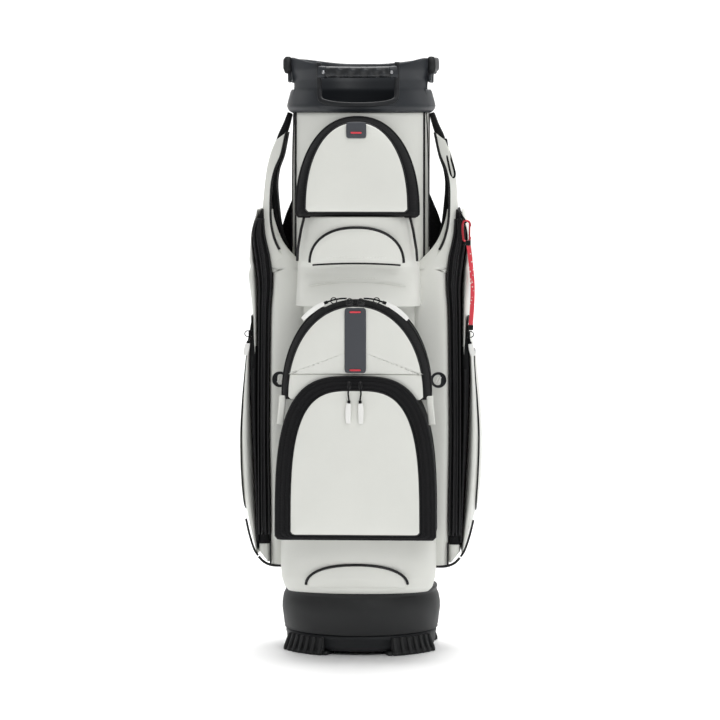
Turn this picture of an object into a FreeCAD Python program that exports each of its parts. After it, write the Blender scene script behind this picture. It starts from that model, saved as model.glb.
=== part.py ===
import FreeCAD, Part
import math
import os

import Sketcher
from FreeCAD import Placement, Rotation, Vector

# A golf cart bag: a stiff tube on a footed rubber boot, a moulded collar with three handles at the
# top, arched pockets down the front (-Y) and a tall pocket on each side. All sizes in millimetres.
# The origin is on the ground under the middle of the tube, and +Z is up. "Ahead" means towards -Y.

SIZES = {
    # tube and its foot
    "tube_radius": 109,
    "tube_wall": 3,
    "collar_foot": 841,
    "pan_floor": 14,
    "pan_floor_thickness": 12,
    "pan_wall": 3,
    "pan_wall_top": 90,
    "pad_thickness": 8,
    "hub_radius": 42,
    "boot_foot": 31,
    "boot_top": 97,
    "boot_overhang": 15.5,
    "boot_rim": 7,
    "ring_overhang": 10,
    "ring_foot": 6,
    "foot_inner": 84,
    "foot_outer": 133,
    "foot_start": 54,
    "foot_top": 27,
    "screw_radius": 3,
    "screw_head": 4,
    "screw_circle": 96,
    "stay_radius": 3,
    "spine_width": 110,
    "spine_foot": 140,
    "spine_top": 836,
    "spine_thickness": 10,
    "spine_depth": 20,
    # collar, its handles and the club grid
    "collar_overhang": 13,
    "collar_wall": 5,
    "collar_top": 928,
    "collar_lap": 12,
    "window_width": 116,
    "window_sill": 857,
    "handle_foot": 895,
    "handle_height": 18,
    "handle_depth": 15,
    "handle_inset": 9,
    "handle_screw": 3,
    "screw_place": 50,
    "side_gap_foot": 879,
    "side_gap_length": 96,
    "side_grip_foot": 905,
    "side_grip_height": 25,
    "side_grip_width": 18,
    "side_grip_inner": 105,
    "grid_foot": 842,
    "grid_thickness": 14,
    "grid_bar": 7,
    "grid_rim": 7,
    "grid_end_share": 0.86,
    "panel_thickness": 2,
    "panel_foot": 40,
    # pockets of the front
    "gap": 0.5,
    "flap_thickness": 7,
    "flap_proud": 4,
    "pocket_floor": 6,
    "upper_radius": 94,
    "upper_centre": 739,
    "upper_foot": 681,
    "upper_half": 94,
    "upper_ahead": 142,
    "upper_band": 12,
    "tab_width": 30,
    "tab_height": 24,
    "tab_thickness": 3,
    "tab_drop": 1,
    "slip_half": 86,
    "slip_foot": 560,
    "slip_top": 678,
    "slip_ahead": 140,
    "slip_radius": 66,
    "slip_lip": 608,
    "slip_skirt": 3,
    "cooler_radius": 102,
    "cooler_centre": 454,
    "cooler_half": 116,
    "cooler_foot": 401,
    "cooler_hinge": 440,
    "cooler_ahead": 168,
    "cooler_band": 14,
    "liner_wall": 4,
    "label_width": 33,
    "label_thickness": 2.5,
    "label_margin": 2,
    "ball_radius": 121,
    "ball_centre": 315,
    "ball_half": 121,
    "ball_foot": 188,
    "ball_ahead": 186,
    "ball_band": 22,
    "lower_ahead": 140,
    "lower_round": 8,
    "lower_inset": 1,
    # tall side pockets
    "side_split": 160,
    "side_outer": 188,
    "side_foot": 131,
    "side_top": 688,
    "side_shoulder": 590,
    "side_ahead": 62,
    "side_behind": 78,
    "side_wall": 9,
    "side_tray_wall": 4,
    "side_root": 60,
    "side_bevel": 18,
    "side_tip": 7,
    "side_neck": 9,
    "side_tuck": 6,
    "side_rise": 85,
    "side_waist": 350,
    "side_lean": 13,
    "side_crown": 55,
    "side_slider_top": 502,
    "side_pull_length": 40,
    # strap pass-through
    "wing_depth": 56,
    "wing_thickness": 13,
    "wing_bulge": 149,
    "wing_tuck": 12,
    "wing_flare": 3.5,
    "wing_waist": 705,
    "wing_turn": 640,
    "wing_top": 790,
    "web_step": 3,
    "web_drop": 12,
    "gusset_top": 720,
    "gusset_thickness": 4,
    "gusset_root": 20,
    "gusset_clear": 1.5,
    "web_thickness": 3,
    "web_width": 38,
    # zip sliders and pulls
    "slider_width": 9,
    "slider_length": 13,
    "slider_thickness": 5,
    "slider_clear": 4,
    "pull_width": 8,
    "ball_pull_length": 58,
    "cooler_pull_reach": 68,
    "cooler_pull_drop": 30,
    "pull_thickness": 2.4,
    "badge_across": 124,
    "badge_height": 424,
    "badge_radius": 12.5,
    "badge_thickness": 4,
    # lanyard and shoulder strap
    "clip_wire": 2.6,
    "clip_across": 162,
    "clip_width": 12,
    "clip_length": 32,
    "clip_top": 673,
    "clip_ahead": 74,
    "clip_round": 2,
    "lanyard_width": 7,
    "lanyard_thickness": 2,
    "lanyard_length": 132,
    "lanyard_drift": 8,
    "strap_width": 58,
    "strap_thickness": 14,
    "strap_bow": 34,
    "strap_step": 90,
    "strap_foot": 370,
    "strap_top": 790,
}

doc = FreeCAD.newDocument("golf_bag")
sheet = doc.addObject("Spreadsheet::Sheet", "size")
for row, (alias, number) in enumerate(SIZES.items(), start=1):
    sheet.set(f"A{row}", alias)
    sheet.set(f"B{row}", str(number))
    sheet.setAlias(f"B{row}", alias)
doc.recompute()

SUBPARTS = []


def value(expression):
    """The number that an expression over the sheet's cells gives."""
    return float(sheet.evalExpression(str(expression)))


def new_body(label):
    """An empty body, listed as a sub-part."""
    body = doc.addObject("PartDesign::Body", label)
    body.Label = label
    SUBPARTS.append(body)
    return body


def new_sketch(body, plane, ahead):
    """A sketch on one of the body's origin planes, moved by an expression along its normal."""
    support = [item for item in body.Origin.OriginFeatures if item.Role == plane][0]
    sketch = body.newObject("Sketcher::SketchObject", f"{body.Name}_sketch")
    sketch.AttachmentSupport = [(support, "")]
    sketch.MapMode = "FlatFace"
    sketch.setExpression("AttachmentOffset.Base.z", str(ahead))
    return sketch


def fix_point(sketch, geometry, end, across, along):
    """Binds one end of a sketch element to two expressions."""
    for kind, expression in (("DistanceX", across), ("DistanceY", along)):
        number = sketch.addConstraint(
            Sketcher.Constraint(kind, -1, 1, geometry, end, value(expression))
        )
        sketch.setExpression(f"Constraints[{number}]", str(expression))


def polygon(body, plane, ahead, points):
    """A closed outline of straight edges through points given as pairs of expressions."""
    sketch = new_sketch(body, plane, ahead)
    corners = [Vector(value(across), value(along), 0) for across, along in points]
    following = corners[1:] + corners[:1]
    edges = [
        sketch.addGeometry(Part.LineSegment(start, end), False)
        for start, end in zip(corners, following)
    ]
    for edge, after in zip(edges, edges[1:] + edges[:1]):
        sketch.addConstraint(Sketcher.Constraint("Coincident", edge, 2, after, 1))
    for edge, (across, along) in zip(edges, points):
        fix_point(sketch, edge, 1, across, along)
    return sketch


def arch(body, ahead, radius, centre, half, foot):
    """A half circle on two legs, in the front plane, closed by a straight foot."""
    sketch = new_sketch(body, "XZ_Plane", ahead)
    middle = Vector(0, value(centre), 0)
    reach = value(radius)
    crown = sketch.addGeometry(
        Part.ArcOfCircle(Part.Circle(middle, Vector(0, 0, 1), reach), 0, math.pi), False
    )
    right, left = Vector(reach, middle.y, 0), Vector(-reach, middle.y, 0)
    foot_left = Vector(-value(half), value(foot), 0)
    foot_right = Vector(value(half), value(foot), 0)
    leg_left = sketch.addGeometry(Part.LineSegment(left, foot_left), False)
    bottom = sketch.addGeometry(Part.LineSegment(foot_left, foot_right), False)
    leg_right = sketch.addGeometry(Part.LineSegment(foot_right, right), False)
    sketch.addConstraint(Sketcher.Constraint("Coincident", crown, 2, leg_left, 1))
    sketch.addConstraint(Sketcher.Constraint("Coincident", leg_left, 2, bottom, 1))
    sketch.addConstraint(Sketcher.Constraint("Coincident", bottom, 2, leg_right, 1))
    sketch.addConstraint(Sketcher.Constraint("Coincident", leg_right, 2, crown, 1))
    fix_point(sketch, crown, 3, "0", centre)
    fix_point(sketch, leg_left, 1, f"-({radius})", centre)
    fix_point(sketch, leg_left, 2, f"-({half})", foot)
    fix_point(sketch, leg_right, 1, half, foot)
    level = sketch.addConstraint(
        Sketcher.Constraint("DistanceY", -1, 1, crown, 1, value(centre))
    )
    sketch.setExpression(f"Constraints[{level}]", str(centre))
    return sketch


def circles(body, ahead, radii, across="0", along="0"):
    """Circles of the given radii about one centre, in the ground plane moved up."""
    sketch = new_sketch(body, "XY_Plane", ahead)
    middle = Vector(value(across), value(along), 0)
    for radius in radii:
        ring = Part.Circle(middle, Vector(0, 0, 1), value(radius))
        number = sketch.addGeometry(ring, False)
        fix_point(sketch, number, 3, across, along)
        width = sketch.addConstraint(Sketcher.Constraint("Radius", number, value(radius)))
        sketch.setExpression(f"Constraints[{width}]", str(radius))
    return sketch


def pad(body, sketch, length):
    """Raises a sketch along its normal."""
    feature = body.newObject("PartDesign::Pad", f"{body.Name}_pad")
    feature.Profile = sketch
    feature.setExpression("Length", str(length))
    sketch.Visibility = False
    doc.recompute()
    return feature


def cut(body, sketch, length, inward=True):
    """Sinks a sketch against its normal, or along it when inward is False, and must remove some."""
    before = body.Shape.Volume
    feature = body.newObject("PartDesign::Pocket", f"{body.Name}_pocket")
    feature.Profile = sketch
    feature.Reversed = not inward
    feature.setExpression("Length", str(length))
    doc.recompute()
    if body.Shape.Volume > before - 1:
        raise RuntimeError(f"{body.Label}: a pocket removed nothing")
    return feature


def round_edges(body, radius, axis, keep=None):
    """Rounds the straight edges that run along an axis and, if given, pass the keep test."""
    feature = body.Tip
    names = []
    for number, edge in enumerate(feature.Shape.Edges, start=1):
        if edge.Curve.TypeId != "Part::GeomLine":
            continue
        along = abs(edge.tangentAt(edge.FirstParameter).dot(axis)) > 0.999
        if along and (keep is None or keep(edge.CenterOfMass)):
            names.append(f"Edge{number}")
    rounded = body.newObject("PartDesign::Fillet", f"{body.Name}_fillet")
    rounded.Base = (feature, names)
    rounded.setExpression("Radius", str(radius))
    doc.recompute()
    return rounded


UP, FORWARD, RIGHT = Vector(0, 0, 1), Vector(0, -1, 0), Vector(1, 0, 0)
PAN_INNER = "(size.tube_radius + size.gap)"
PAN_OUTER = f"({PAN_INNER} + size.pan_wall)"
FLOOR_TOP = "(size.pan_floor + size.pan_floor_thickness)"
GRID_TOP = "(size.grid_foot + size.grid_thickness)"
TUBE_INNER = "(size.tube_radius - size.tube_wall)"
FRONT_ROOT = "(size.side_ahead + size.gap)"
GRID_COLUMNS = (2, 3, 4, 3, 2)
LANYARD_SWAY = (0, 0.75, 1, 0.5)


def ring(label, foot, top, *radii):
    """A disc, or a tube when two radii are given, standing about the bag's axis."""
    body = new_body(label)
    pad(body, circles(body, foot, radii), f"({top}) - ({foot})")
    return body


def clear_tube(body, foot, top):
    """Hollows the back of a pocket so that it hugs the tube with a small gap."""
    cut(body, circles(body, foot, [PAN_INNER]), f"({top}) - ({foot})", inward=False)


def mirrored(source, label):
    """The same piece on the other side of the bag."""
    piece = doc.addObject("Part::Mirroring", label)
    piece.Label = label
    piece.Source = source
    piece.Normal = RIGHT
    SUBPARTS.append(piece)
    return piece


def block(name, size, corner):
    """A box from three lengths and its lowest corner, all expressions."""
    box = doc.addObject("Part::Box", name)
    for side, expression in zip(("Length", "Width", "Height"), size):
        box.setExpression(side, str(expression))
    for axis, expression in zip("xyz", corner):
        box.setExpression(f"Placement.Base.{axis}", str(expression))
    return box


def rod(name, radius, height, corner):
    """An upright cylinder from its radius, height and the middle of its foot."""
    cylinder = doc.addObject("Part::Cylinder", name)
    cylinder.setExpression("Radius", str(radius))
    cylinder.setExpression("Height", str(height))
    for axis, expression in zip("xyz", corner):
        cylinder.setExpression(f"Placement.Base.{axis}", str(expression))
    return cylinder


def button(name, radius, thickness, place):
    """A round disc that faces ahead, from its radius, thickness and the middle of its back."""
    disc = rod(name, radius, thickness, place)
    disc.Placement = Placement(disc.Placement.Base, Rotation(RIGHT, 90))
    return disc


def combined(kind, name, first, second):
    """A boolean of two shapes: Cut, Common or Fuse."""
    result = doc.addObject(f"Part::{kind}", name)
    result.Base = first
    result.Tool = second
    return result


def group(label, members):
    """Several separate solids kept in one node."""
    compound = doc.addObject("Part::Compound", label)
    compound.Label = label
    compound.Links = members
    SUBPARTS.append(compound)
    return compound


# ---- the foot of the bag


def build_pan():
    """Inner pan: a floor and a wall round the tube, on a hub that rests on the ground."""
    body = ring("base_pan", 0, "size.pan_floor", "size.hub_radius")
    pad(body, circles(body, "size.pan_floor", [PAN_OUTER]), "size.pan_floor_thickness")
    pad(body, circles(body, FLOOR_TOP, [PAN_OUTER, PAN_INNER]), f"size.pan_wall_top - {FLOOR_TOP}")


def build_boot():
    """Rubberised boot with rounded upper and lower rims."""
    outer = "(size.tube_radius + size.boot_overhang)"
    body = ring("base_boot", "size.boot_foot", "size.boot_top", outer, f"{PAN_OUTER} + size.gap")
    wall = body.Tip
    reach = value(outer)
    rims = [
        f"Edge{number}"
        for number, edge in enumerate(wall.Shape.Edges, start=1)
        if edge.Curve.TypeId == "Part::GeomCircle" and abs(edge.Curve.Radius - reach) < 0.01
    ]
    rounded = body.newObject("PartDesign::Fillet", "boot_rim")
    rounded.Base = (wall, rims)
    rounded.setExpression("Radius", "size.boot_rim")


def build_feet():
    """Four finned feet: a shoe under the ring and a finned skirt outside it, cut at each corner."""
    shoe_top = "(size.ring_foot - size.gap)"
    skirt_inner = "(size.tube_radius + size.ring_overhang + size.gap)"
    origin = ("0", "0", "0")
    for across, across_name in ((1, "right"), (-1, "left")):
        for along, along_name in ((-1, "front"), (1, "back")):
            name = f"foot_{along_name}_{across_name}"
            outer = rod(f"{name}_outer", "size.foot_outer", "size.foot_top", origin)
            inner = rod(f"{name}_inner", "size.foot_inner", "size.foot_top", origin)
            over = rod(f"{name}_over", skirt_inner, "size.foot_top", ("0", "0", shoe_top))
            shell = combined("Cut", f"{name}_shell", combined("Cut", f"{name}_tube", outer, inner), over)
            reach = "size.foot_outer - size.foot_start"
            corner = [
                "size.foot_start" if side > 0 else "-size.foot_outer" for side in (across, along)
            ]
            square = block(f"{name}_square", (reach, reach, "size.foot_top"), (*corner, "0"))
            foot = combined("Common", name, shell, square)
            foot.Label = name
            SUBPARTS.append(foot)


def build_base():
    """Everything from the ground to the top of the boot."""
    build_pan()
    ring("base_pad", FLOOR_TOP, f"{FLOOR_TOP} + size.pad_thickness", f"{TUBE_INNER} - size.gap")
    ring(
        "base_ring",
        "size.ring_foot",
        "size.boot_foot - size.gap",
        "size.tube_radius + size.ring_overhang",
        f"{PAN_OUTER} + size.gap",
    )
    build_boot()
    build_feet()
    reach = "size.screw_circle"
    places = ((reach, "0"), (f"-{reach}", "0"), ("0", reach), ("0", f"-{reach}"))
    screw_foot = "size.pan_floor - size.screw_head"
    screws = [
        rod(f"base_screw_{number}", "size.screw_radius", "size.screw_head", (*place, screw_foot))
        for number, place in enumerate(places)
    ]
    group("base_screws", screws)


# ---- tube, collar and club grid


def build_tube():
    """The stiff skin of the bag, with its stays and spine board."""
    ring("body_shell", FLOOR_TOP, "size.collar_foot + size.collar_lap", "size.tube_radius", TUBE_INNER)
    stay_place = f"{TUBE_INNER} - size.stay_radius - size.gap"
    stay_foot = f"{FLOOR_TOP} + size.pad_thickness"
    stays = [
        rod(
            f"stay_{name}",
            "size.stay_radius",
            f"size.grid_foot - size.gap - ({stay_foot})",
            (place, "0", stay_foot),
        )
        for name, place in (("right", stay_place), ("left", f"-({stay_place})"))
    ]
    group("stays", stays)
    spine = new_body("spine_panel")
    half = "size.spine_width / 2"
    near = "-size.tube_radius - size.spine_thickness"
    outline = [(f"-{half}", "size.spine_foot"), (half, "size.spine_foot")]
    outline += [(half, "size.spine_top"), (f"-{half}", "size.spine_top")]
    pad(spine, polygon(spine, "XZ_Plane", near, outline), "size.spine_thickness + size.spine_depth")
    clear_tube(spine, "size.spine_foot", "size.spine_top")


def build_collar():
    """Collar with a notch ahead for the grab handle and one at each side for the side handle."""
    outer = "(size.tube_radius + size.collar_overhang)"
    inner = f"({outer} - size.collar_wall)"
    lap_top = "(size.collar_foot + size.collar_lap)"
    body = ring("top_collar", "size.collar_foot", lap_top, outer, f"{PAN_INNER}")
    pad(body, circles(body, lap_top, [outer, inner]), f"size.collar_top - {lap_top}")
    half = "size.window_width / 2"
    notch = [(f"-{half}", "size.window_sill"), (half, "size.window_sill")]
    notch += [(half, "size.collar_top + size.gap"), (f"-{half}", "size.collar_top + size.gap")]
    cut(body, polygon(body, "XZ_Plane", "0", notch), outer, inward=False)
    half = "size.side_gap_length / 2"
    gap = [(f"-{half}", "size.side_gap_foot"), (half, "size.side_gap_foot")]
    gap += [(half, "size.collar_top + size.gap"), (f"-{half}", "size.collar_top + size.gap")]
    for inward in (True, False):
        cut(body, polygon(body, "YZ_Plane", "0", gap), outer, inward=inward)


def build_handles():
    """The three grips, each a bar between the ends of its notch, and the screws of the front one."""
    wall = "(size.tube_radius + size.collar_overhang - size.collar_wall)"
    length = "size.window_width"
    front = block(
        "front_handle_grip",
        (length, "size.handle_depth", "size.handle_height"),
        (f"-{length} / 2", f"-{wall} + size.handle_inset", "size.handle_foot"),
    )
    front.Label = "front_handle_grip"
    SUBPARTS.append(front)
    middle = "size.handle_foot + size.handle_height / 2"
    face = f"-{wall} + size.handle_inset"
    screws = [
        button(f"handle_screw_{name}", "size.handle_screw", "size.screw_head", (place, face, middle))
        for name, place in (("left", "-size.screw_place"), ("right", "size.screw_place"))
    ]
    group("handle_screws", screws)
    length = "size.side_gap_length"
    grip = block(
        "side_grip_right",
        ("size.side_grip_width", length, "size.side_grip_height"),
        ("size.side_grip_inner", f"-{length} / 2", "size.side_grip_foot"),
    )
    grip.Label = "side_grip_right"
    SUBPARTS.append(grip)
    mirrored(grip, "side_grip_left")


def build_grid():
    """Club grid in rows of wells, with flat fabric walls hung below its bars."""
    rim = f"({TUBE_INNER} - size.gap)"
    grid = ring("top_divider", "size.grid_foot", GRID_TOP, rim)
    pitch = f"(2 * {rim} / {len(GRID_COLUMNS)})"
    walls = []
    for row, columns in enumerate(GRID_COLUMNS):
        back = f"min({rim} - {row} * {pitch} - size.grid_bar / 2; size.grid_end_share * {rim})"
        ahead = f"max({rim} - {row + 1} * {pitch} + size.grid_bar / 2; -size.grid_end_share * {rim})"
        half = f"(sqrt({rim} ^ 2 - max(abs({back}); abs({ahead})) ^ 2) - size.grid_rim)"
        width = f"((2 * {half} - {columns - 1} * size.grid_bar) / {columns})"
        for column in range(columns):
            left = f"(-{half} + {column} * ({width} + size.grid_bar))"
            well = rectangle(left, ahead, f"({left} + {width})", back)
            cut(grid, polygon(grid, "XY_Plane", "size.grid_foot", well), "size.grid_thickness", False)
        if row:
            middle = f"({rim} - {row} * {pitch})"
            chord = f"sqrt({rim} ^ 2 - (abs({middle}) + size.panel_thickness) ^ 2)"
            reach = f"({chord} - 3 * size.stay_radius)"
            size = (f"2 * {reach}", "size.panel_thickness", "size.grid_foot - size.gap - size.panel_foot")
            corner = (f"-{reach}", f"{middle} - size.panel_thickness / 2", "size.panel_foot")
            walls.append(block(f"panel_{row}", size, corner))
    group("divider_panels", walls)


# ---- pockets of the front


def arch_shell(label, root, ahead, radius, centre, half, foot, band, inner_foot):
    """Gusset of an arched pocket: a thick arched wall, open ahead, whose back hugs the tube."""
    body = new_body(label)
    depth = f"({ahead}) - ({root})"
    pad(body, arch(body, root, radius, centre, half, foot), depth)
    opening = (f"{radius} - {band}", centre, f"{half} - {band}", inner_foot)
    cut(body, arch(body, root, *opening), depth, inward=False)
    clear_tube(body, foot, f"{centre} + {radius}")
    return body


def arch_flap(label, ahead, radius, centre, half, foot):
    """Front of an arched pocket: an arched slab that fills the gusset's opening."""
    body = new_body(label)
    back = f"({ahead}) - size.flap_thickness"
    pad(body, arch(body, back, radius, centre, half, foot), "size.flap_thickness + size.flap_proud")
    return body


def plate(label, ahead, thickness, outline):
    """A flat piece in the front plane, from its back outwards."""
    body = new_body(label)
    pad(body, polygon(body, "XZ_Plane", ahead, outline), thickness)
    return body


def rectangle(left, foot, right, top):
    """The four corners of an upright rectangle."""
    return [(left, foot), (right, foot), (right, top), (left, top)]


def build_upper_pocket():
    """Arched pocket under the collar, its front flap and the flap's tab."""
    rim = "size.upper_band + size.gap"
    arch_shell(
        "upper_pocket", FRONT_ROOT, "size.upper_ahead", "size.upper_radius", "size.upper_centre",
        "size.upper_half", "size.upper_foot", "size.upper_band", "size.upper_foot + size.pocket_floor",
    )
    arch_flap(
        "upper_flap", "size.upper_ahead", f"size.upper_radius - ({rim})", "size.upper_centre",
        f"size.upper_half - ({rim})", "size.upper_foot + size.pocket_floor + size.gap",
    )
    crown = f"size.upper_centre + size.upper_radius - ({rim})"
    half, top = "size.tab_width / 2", f"{crown} - size.tab_drop"
    outline = rectangle(f"-{half}", f"{top} - size.tab_height", half, top)
    plate("upper_tab", "size.upper_ahead + size.flap_proud", "size.tab_thickness", outline)


def build_slip_pocket():
    """Hand-in pocket: a block round a half-moon mouth, and a lid with a magnet in its lip."""
    ahead, root = "size.slip_ahead", FRONT_ROOT
    body = new_body("slip_pocket")
    outline = rectangle("-size.slip_half", "size.slip_foot", "size.slip_half", "size.slip_top")
    pad(body, polygon(body, "XZ_Plane", root, outline), f"{ahead} - {root}")
    radius = "size.slip_radius"
    foot = "size.slip_lip"
    mouth = arch(body, root, radius, foot, radius, "size.slip_foot + size.pocket_floor")
    cut(body, mouth, f"{ahead} - {root}", inward=False)
    clear_tube(body, "size.slip_foot", "size.slip_top")
    lid = f"{radius} - size.gap"
    arch_flap("slip_flap", ahead, lid, foot, lid, f"{foot} - size.slip_skirt")


def build_cooler_pocket():
    """Insulated arched pocket with a liner, a flap that folds down from the ball pocket's top."""
    radius, centre = "size.cooler_radius", "size.cooler_centre"
    rim = "size.cooler_band + size.gap"
    opening = f"{radius} - size.cooler_band"
    body = new_body("cooler_pocket")
    depth = f"size.cooler_ahead - {FRONT_ROOT}"
    pad(body, arch(body, FRONT_ROOT, radius, centre, "size.cooler_half", "size.cooler_foot"), depth)
    cut(body, arch(body, FRONT_ROOT, opening, centre, opening, "size.cooler_hinge"), depth, inward=False)
    ball = "size.ball_radius + size.gap"
    cut(body, arch(body, FRONT_ROOT, ball, "size.ball_centre", ball, "size.ball_foot"), depth, inward=False)
    clear_tube(body, "size.cooler_foot", f"{centre} + {radius}")
    flap = f"{radius} - ({rim})"
    arch_flap("cooler_flap", "size.cooler_ahead", flap, centre, flap, "size.cooler_hinge + size.gap")
    liner = new_body("cooler_liner")
    back = "size.tube_radius + 2 * size.gap"
    depth = f"size.cooler_ahead - size.flap_thickness - size.gap - ({back})"
    outer = f"{radius} - ({rim}) - size.gap"
    foot = "size.cooler_hinge + 2 * size.gap"
    pad(liner, arch(liner, back, outer, centre, outer, foot), depth)
    inner = f"{outer} - size.liner_wall"
    hollow = arch(liner, f"{back} + size.liner_wall", inner, centre, inner, f"{foot} + size.liner_wall")
    cut(liner, hollow, depth, inward=False)
    crown = f"{centre} + {radius} - ({rim})"
    half, margin = "size.label_width / 2", "size.label_margin"
    outline = rectangle(f"-{half}", f"size.cooler_hinge + {margin}", half, f"{crown} - {margin}")
    plate("label_strap", "size.cooler_ahead + size.flap_proud", "size.label_thickness", outline)


def build_ball_pocket():
    """Large arched pocket with a ribbed gusset, and its flap."""
    rim = "size.ball_band + size.gap"
    arch_shell(
        "ball_pocket", FRONT_ROOT, "size.ball_ahead", "size.ball_radius", "size.ball_centre",
        "size.ball_half", "size.ball_foot", "size.ball_band", "size.ball_foot + size.pocket_floor",
    )
    arch_flap(
        "ball_flap", "size.ball_ahead", f"size.ball_radius - ({rim})", "size.ball_centre",
        f"size.ball_half - ({rim})", "size.ball_foot + size.pocket_floor + size.gap",
    )


def build_lower_panel():
    """Padded apron between the ball pocket and the boot."""
    foot, top = "size.boot_top + size.gap", "size.ball_foot - size.gap"
    body = new_body("lower_panel")
    half = "size.ball_half - size.lower_inset"
    outline = rectangle(f"-({half})", foot, half, top)
    pad(body, polygon(body, "XZ_Plane", FRONT_ROOT, outline), f"size.lower_ahead - {FRONT_ROOT}")
    round_edges(body, "size.lower_round", UP, lambda point: point.y < value("-size.lower_ahead + size.gap"))
    clear_tube(body, foot, top)


def build_slider_pair(stem, radius, centre, ahead, hang):
    """Two zip sliders beside the crown of an arch, each with a pull."""
    track = f"({centre} + {radius})"
    front = f"({ahead} + size.slider_thickness)"
    inner, outer = "size.slider_clear", "size.slider_clear + size.slider_width"
    foot, top = f"{track} - size.slider_length / 2", f"{track} + size.slider_length / 2"
    slider = plate(f"{stem}_slider_right", ahead, "size.slider_thickness", rectangle(inner, foot, outer, top))
    pull = plate(f"{stem}_pull_right", f"{front} + size.gap", "size.pull_thickness", hang(track))
    mirrored(slider, f"{stem}_slider_left")
    mirrored(pull, f"{stem}_pull_left")


def build_sliders():
    """Sliders and pulls: those of the ball pocket hang, those of the cooler lie along its arch."""
    proud = "size.flap_proud"

    def hanging(track):
        left = "size.slider_clear + size.slider_width / 2 - size.pull_width / 2"
        return rectangle(left, f"{track} - size.ball_pull_length", f"{left} + size.pull_width", track)

    def lying(track):
        start = "size.slider_clear + size.slider_width"
        drop = "size.cooler_pull_drop"
        return [
            (start, f"{track} - size.pull_width / 2"),
            (f"{start} + size.cooler_pull_reach", f"{track} - {drop} - size.pull_width / 2"),
            (f"{start} + size.cooler_pull_reach", f"{track} - {drop} + size.pull_width / 2"),
            (start, f"{track} + size.pull_width / 2"),
        ]

    build_slider_pair(
        "ball", "size.ball_radius - size.ball_band / 2", "size.ball_centre",
        f"size.ball_ahead + {proud} + size.gap", hanging,
    )
    build_slider_pair(
        "cooler", "size.cooler_radius - size.cooler_band / 2", "size.cooler_centre",
        f"size.cooler_ahead + {proud} + size.gap", lying,
    )


# ---- sides


def build_side_pockets():
    """Tall pockets: a deep wall round each side, and a padded tray that closes it like a door."""
    split, outer = "size.side_split", "size.side_outer"
    ahead, behind = "size.side_ahead", "size.side_behind"
    root = "size.side_root"
    foot, top, shoulder = "size.side_foot", "size.side_top", "size.side_shoulder"
    pocket = new_body("side_pocket_right")
    outline = [
        (root, foot),
        (f"{split} - size.side_bevel", foot),
        (split, f"{foot} + size.side_bevel"),
        (split, top),
        (f"{split} - size.side_tip", top),
        (f"{split} - size.side_neck", shoulder),
        (root, shoulder),
    ]
    pad(pocket, polygon(pocket, "XZ_Plane", f"-{behind}", outline), f"{ahead} + {behind}")
    wall = "size.side_wall"
    hollow = rectangle(
        f"-{ahead} + {wall}", f"{foot} + size.side_bevel + {wall}",
        f"{behind} - {wall}", f"{shoulder} - {wall}",
    )
    cut(pocket, polygon(pocket, "YZ_Plane", root, hollow), split, inward=False)
    clear_tube(pocket, foot, top)
    mirrored(pocket, "side_pocket_left")

    flap = new_body("side_flap_right")
    inner = f"({split} + size.gap)"
    outline = [
        (inner, f"{foot} + size.side_bevel"),
        (f"{inner} + size.side_tuck", f"{foot} + size.side_bevel"),
        (outer, f"{foot} + size.side_rise"),
        (outer, "size.side_waist"),
        (f"{outer} - size.side_lean", f"{top} - size.side_crown"),
        (f"{outer} - size.side_lean - size.side_tuck", top),
        (inner, top),
    ]
    pad(flap, polygon(flap, "XZ_Plane", f"-{behind}", outline), f"{ahead} + {behind}")
    wall = "size.side_tray_wall"
    hollow = rectangle(
        f"-{ahead} + {wall}", f"{foot} + size.side_rise + {wall}",
        f"{behind} - {wall}", f"{top} - size.side_crown - {wall}",
    )
    depth = f"{outer} - size.side_lean - {inner} - {wall}"
    cut(flap, polygon(flap, "YZ_Plane", inner, hollow), depth, inward=False)
    mirrored(flap, "side_flap_left")


def build_side_sliders():
    """A slider on the fore edge of each side flap, with a hanging pull."""
    ahead = "size.side_ahead + size.gap"
    left = "size.side_outer - size.side_lean - size.slider_width"
    top = "size.side_slider_top"
    slider = plate(
        "side_slider_right", ahead, "size.slider_thickness",
        rectangle(left, f"{top} - size.slider_length", f"{left} + size.slider_width", top),
    )
    mirrored(slider, "side_slider_left")
    pull = plate(
        "side_pull_right", f"{ahead} + size.slider_thickness + size.gap", "size.pull_thickness",
        rectangle(left, f"{top} - size.side_pull_length", f"{left} + size.pull_width", top),
    )
    mirrored(pull, "side_pull_left")


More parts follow.
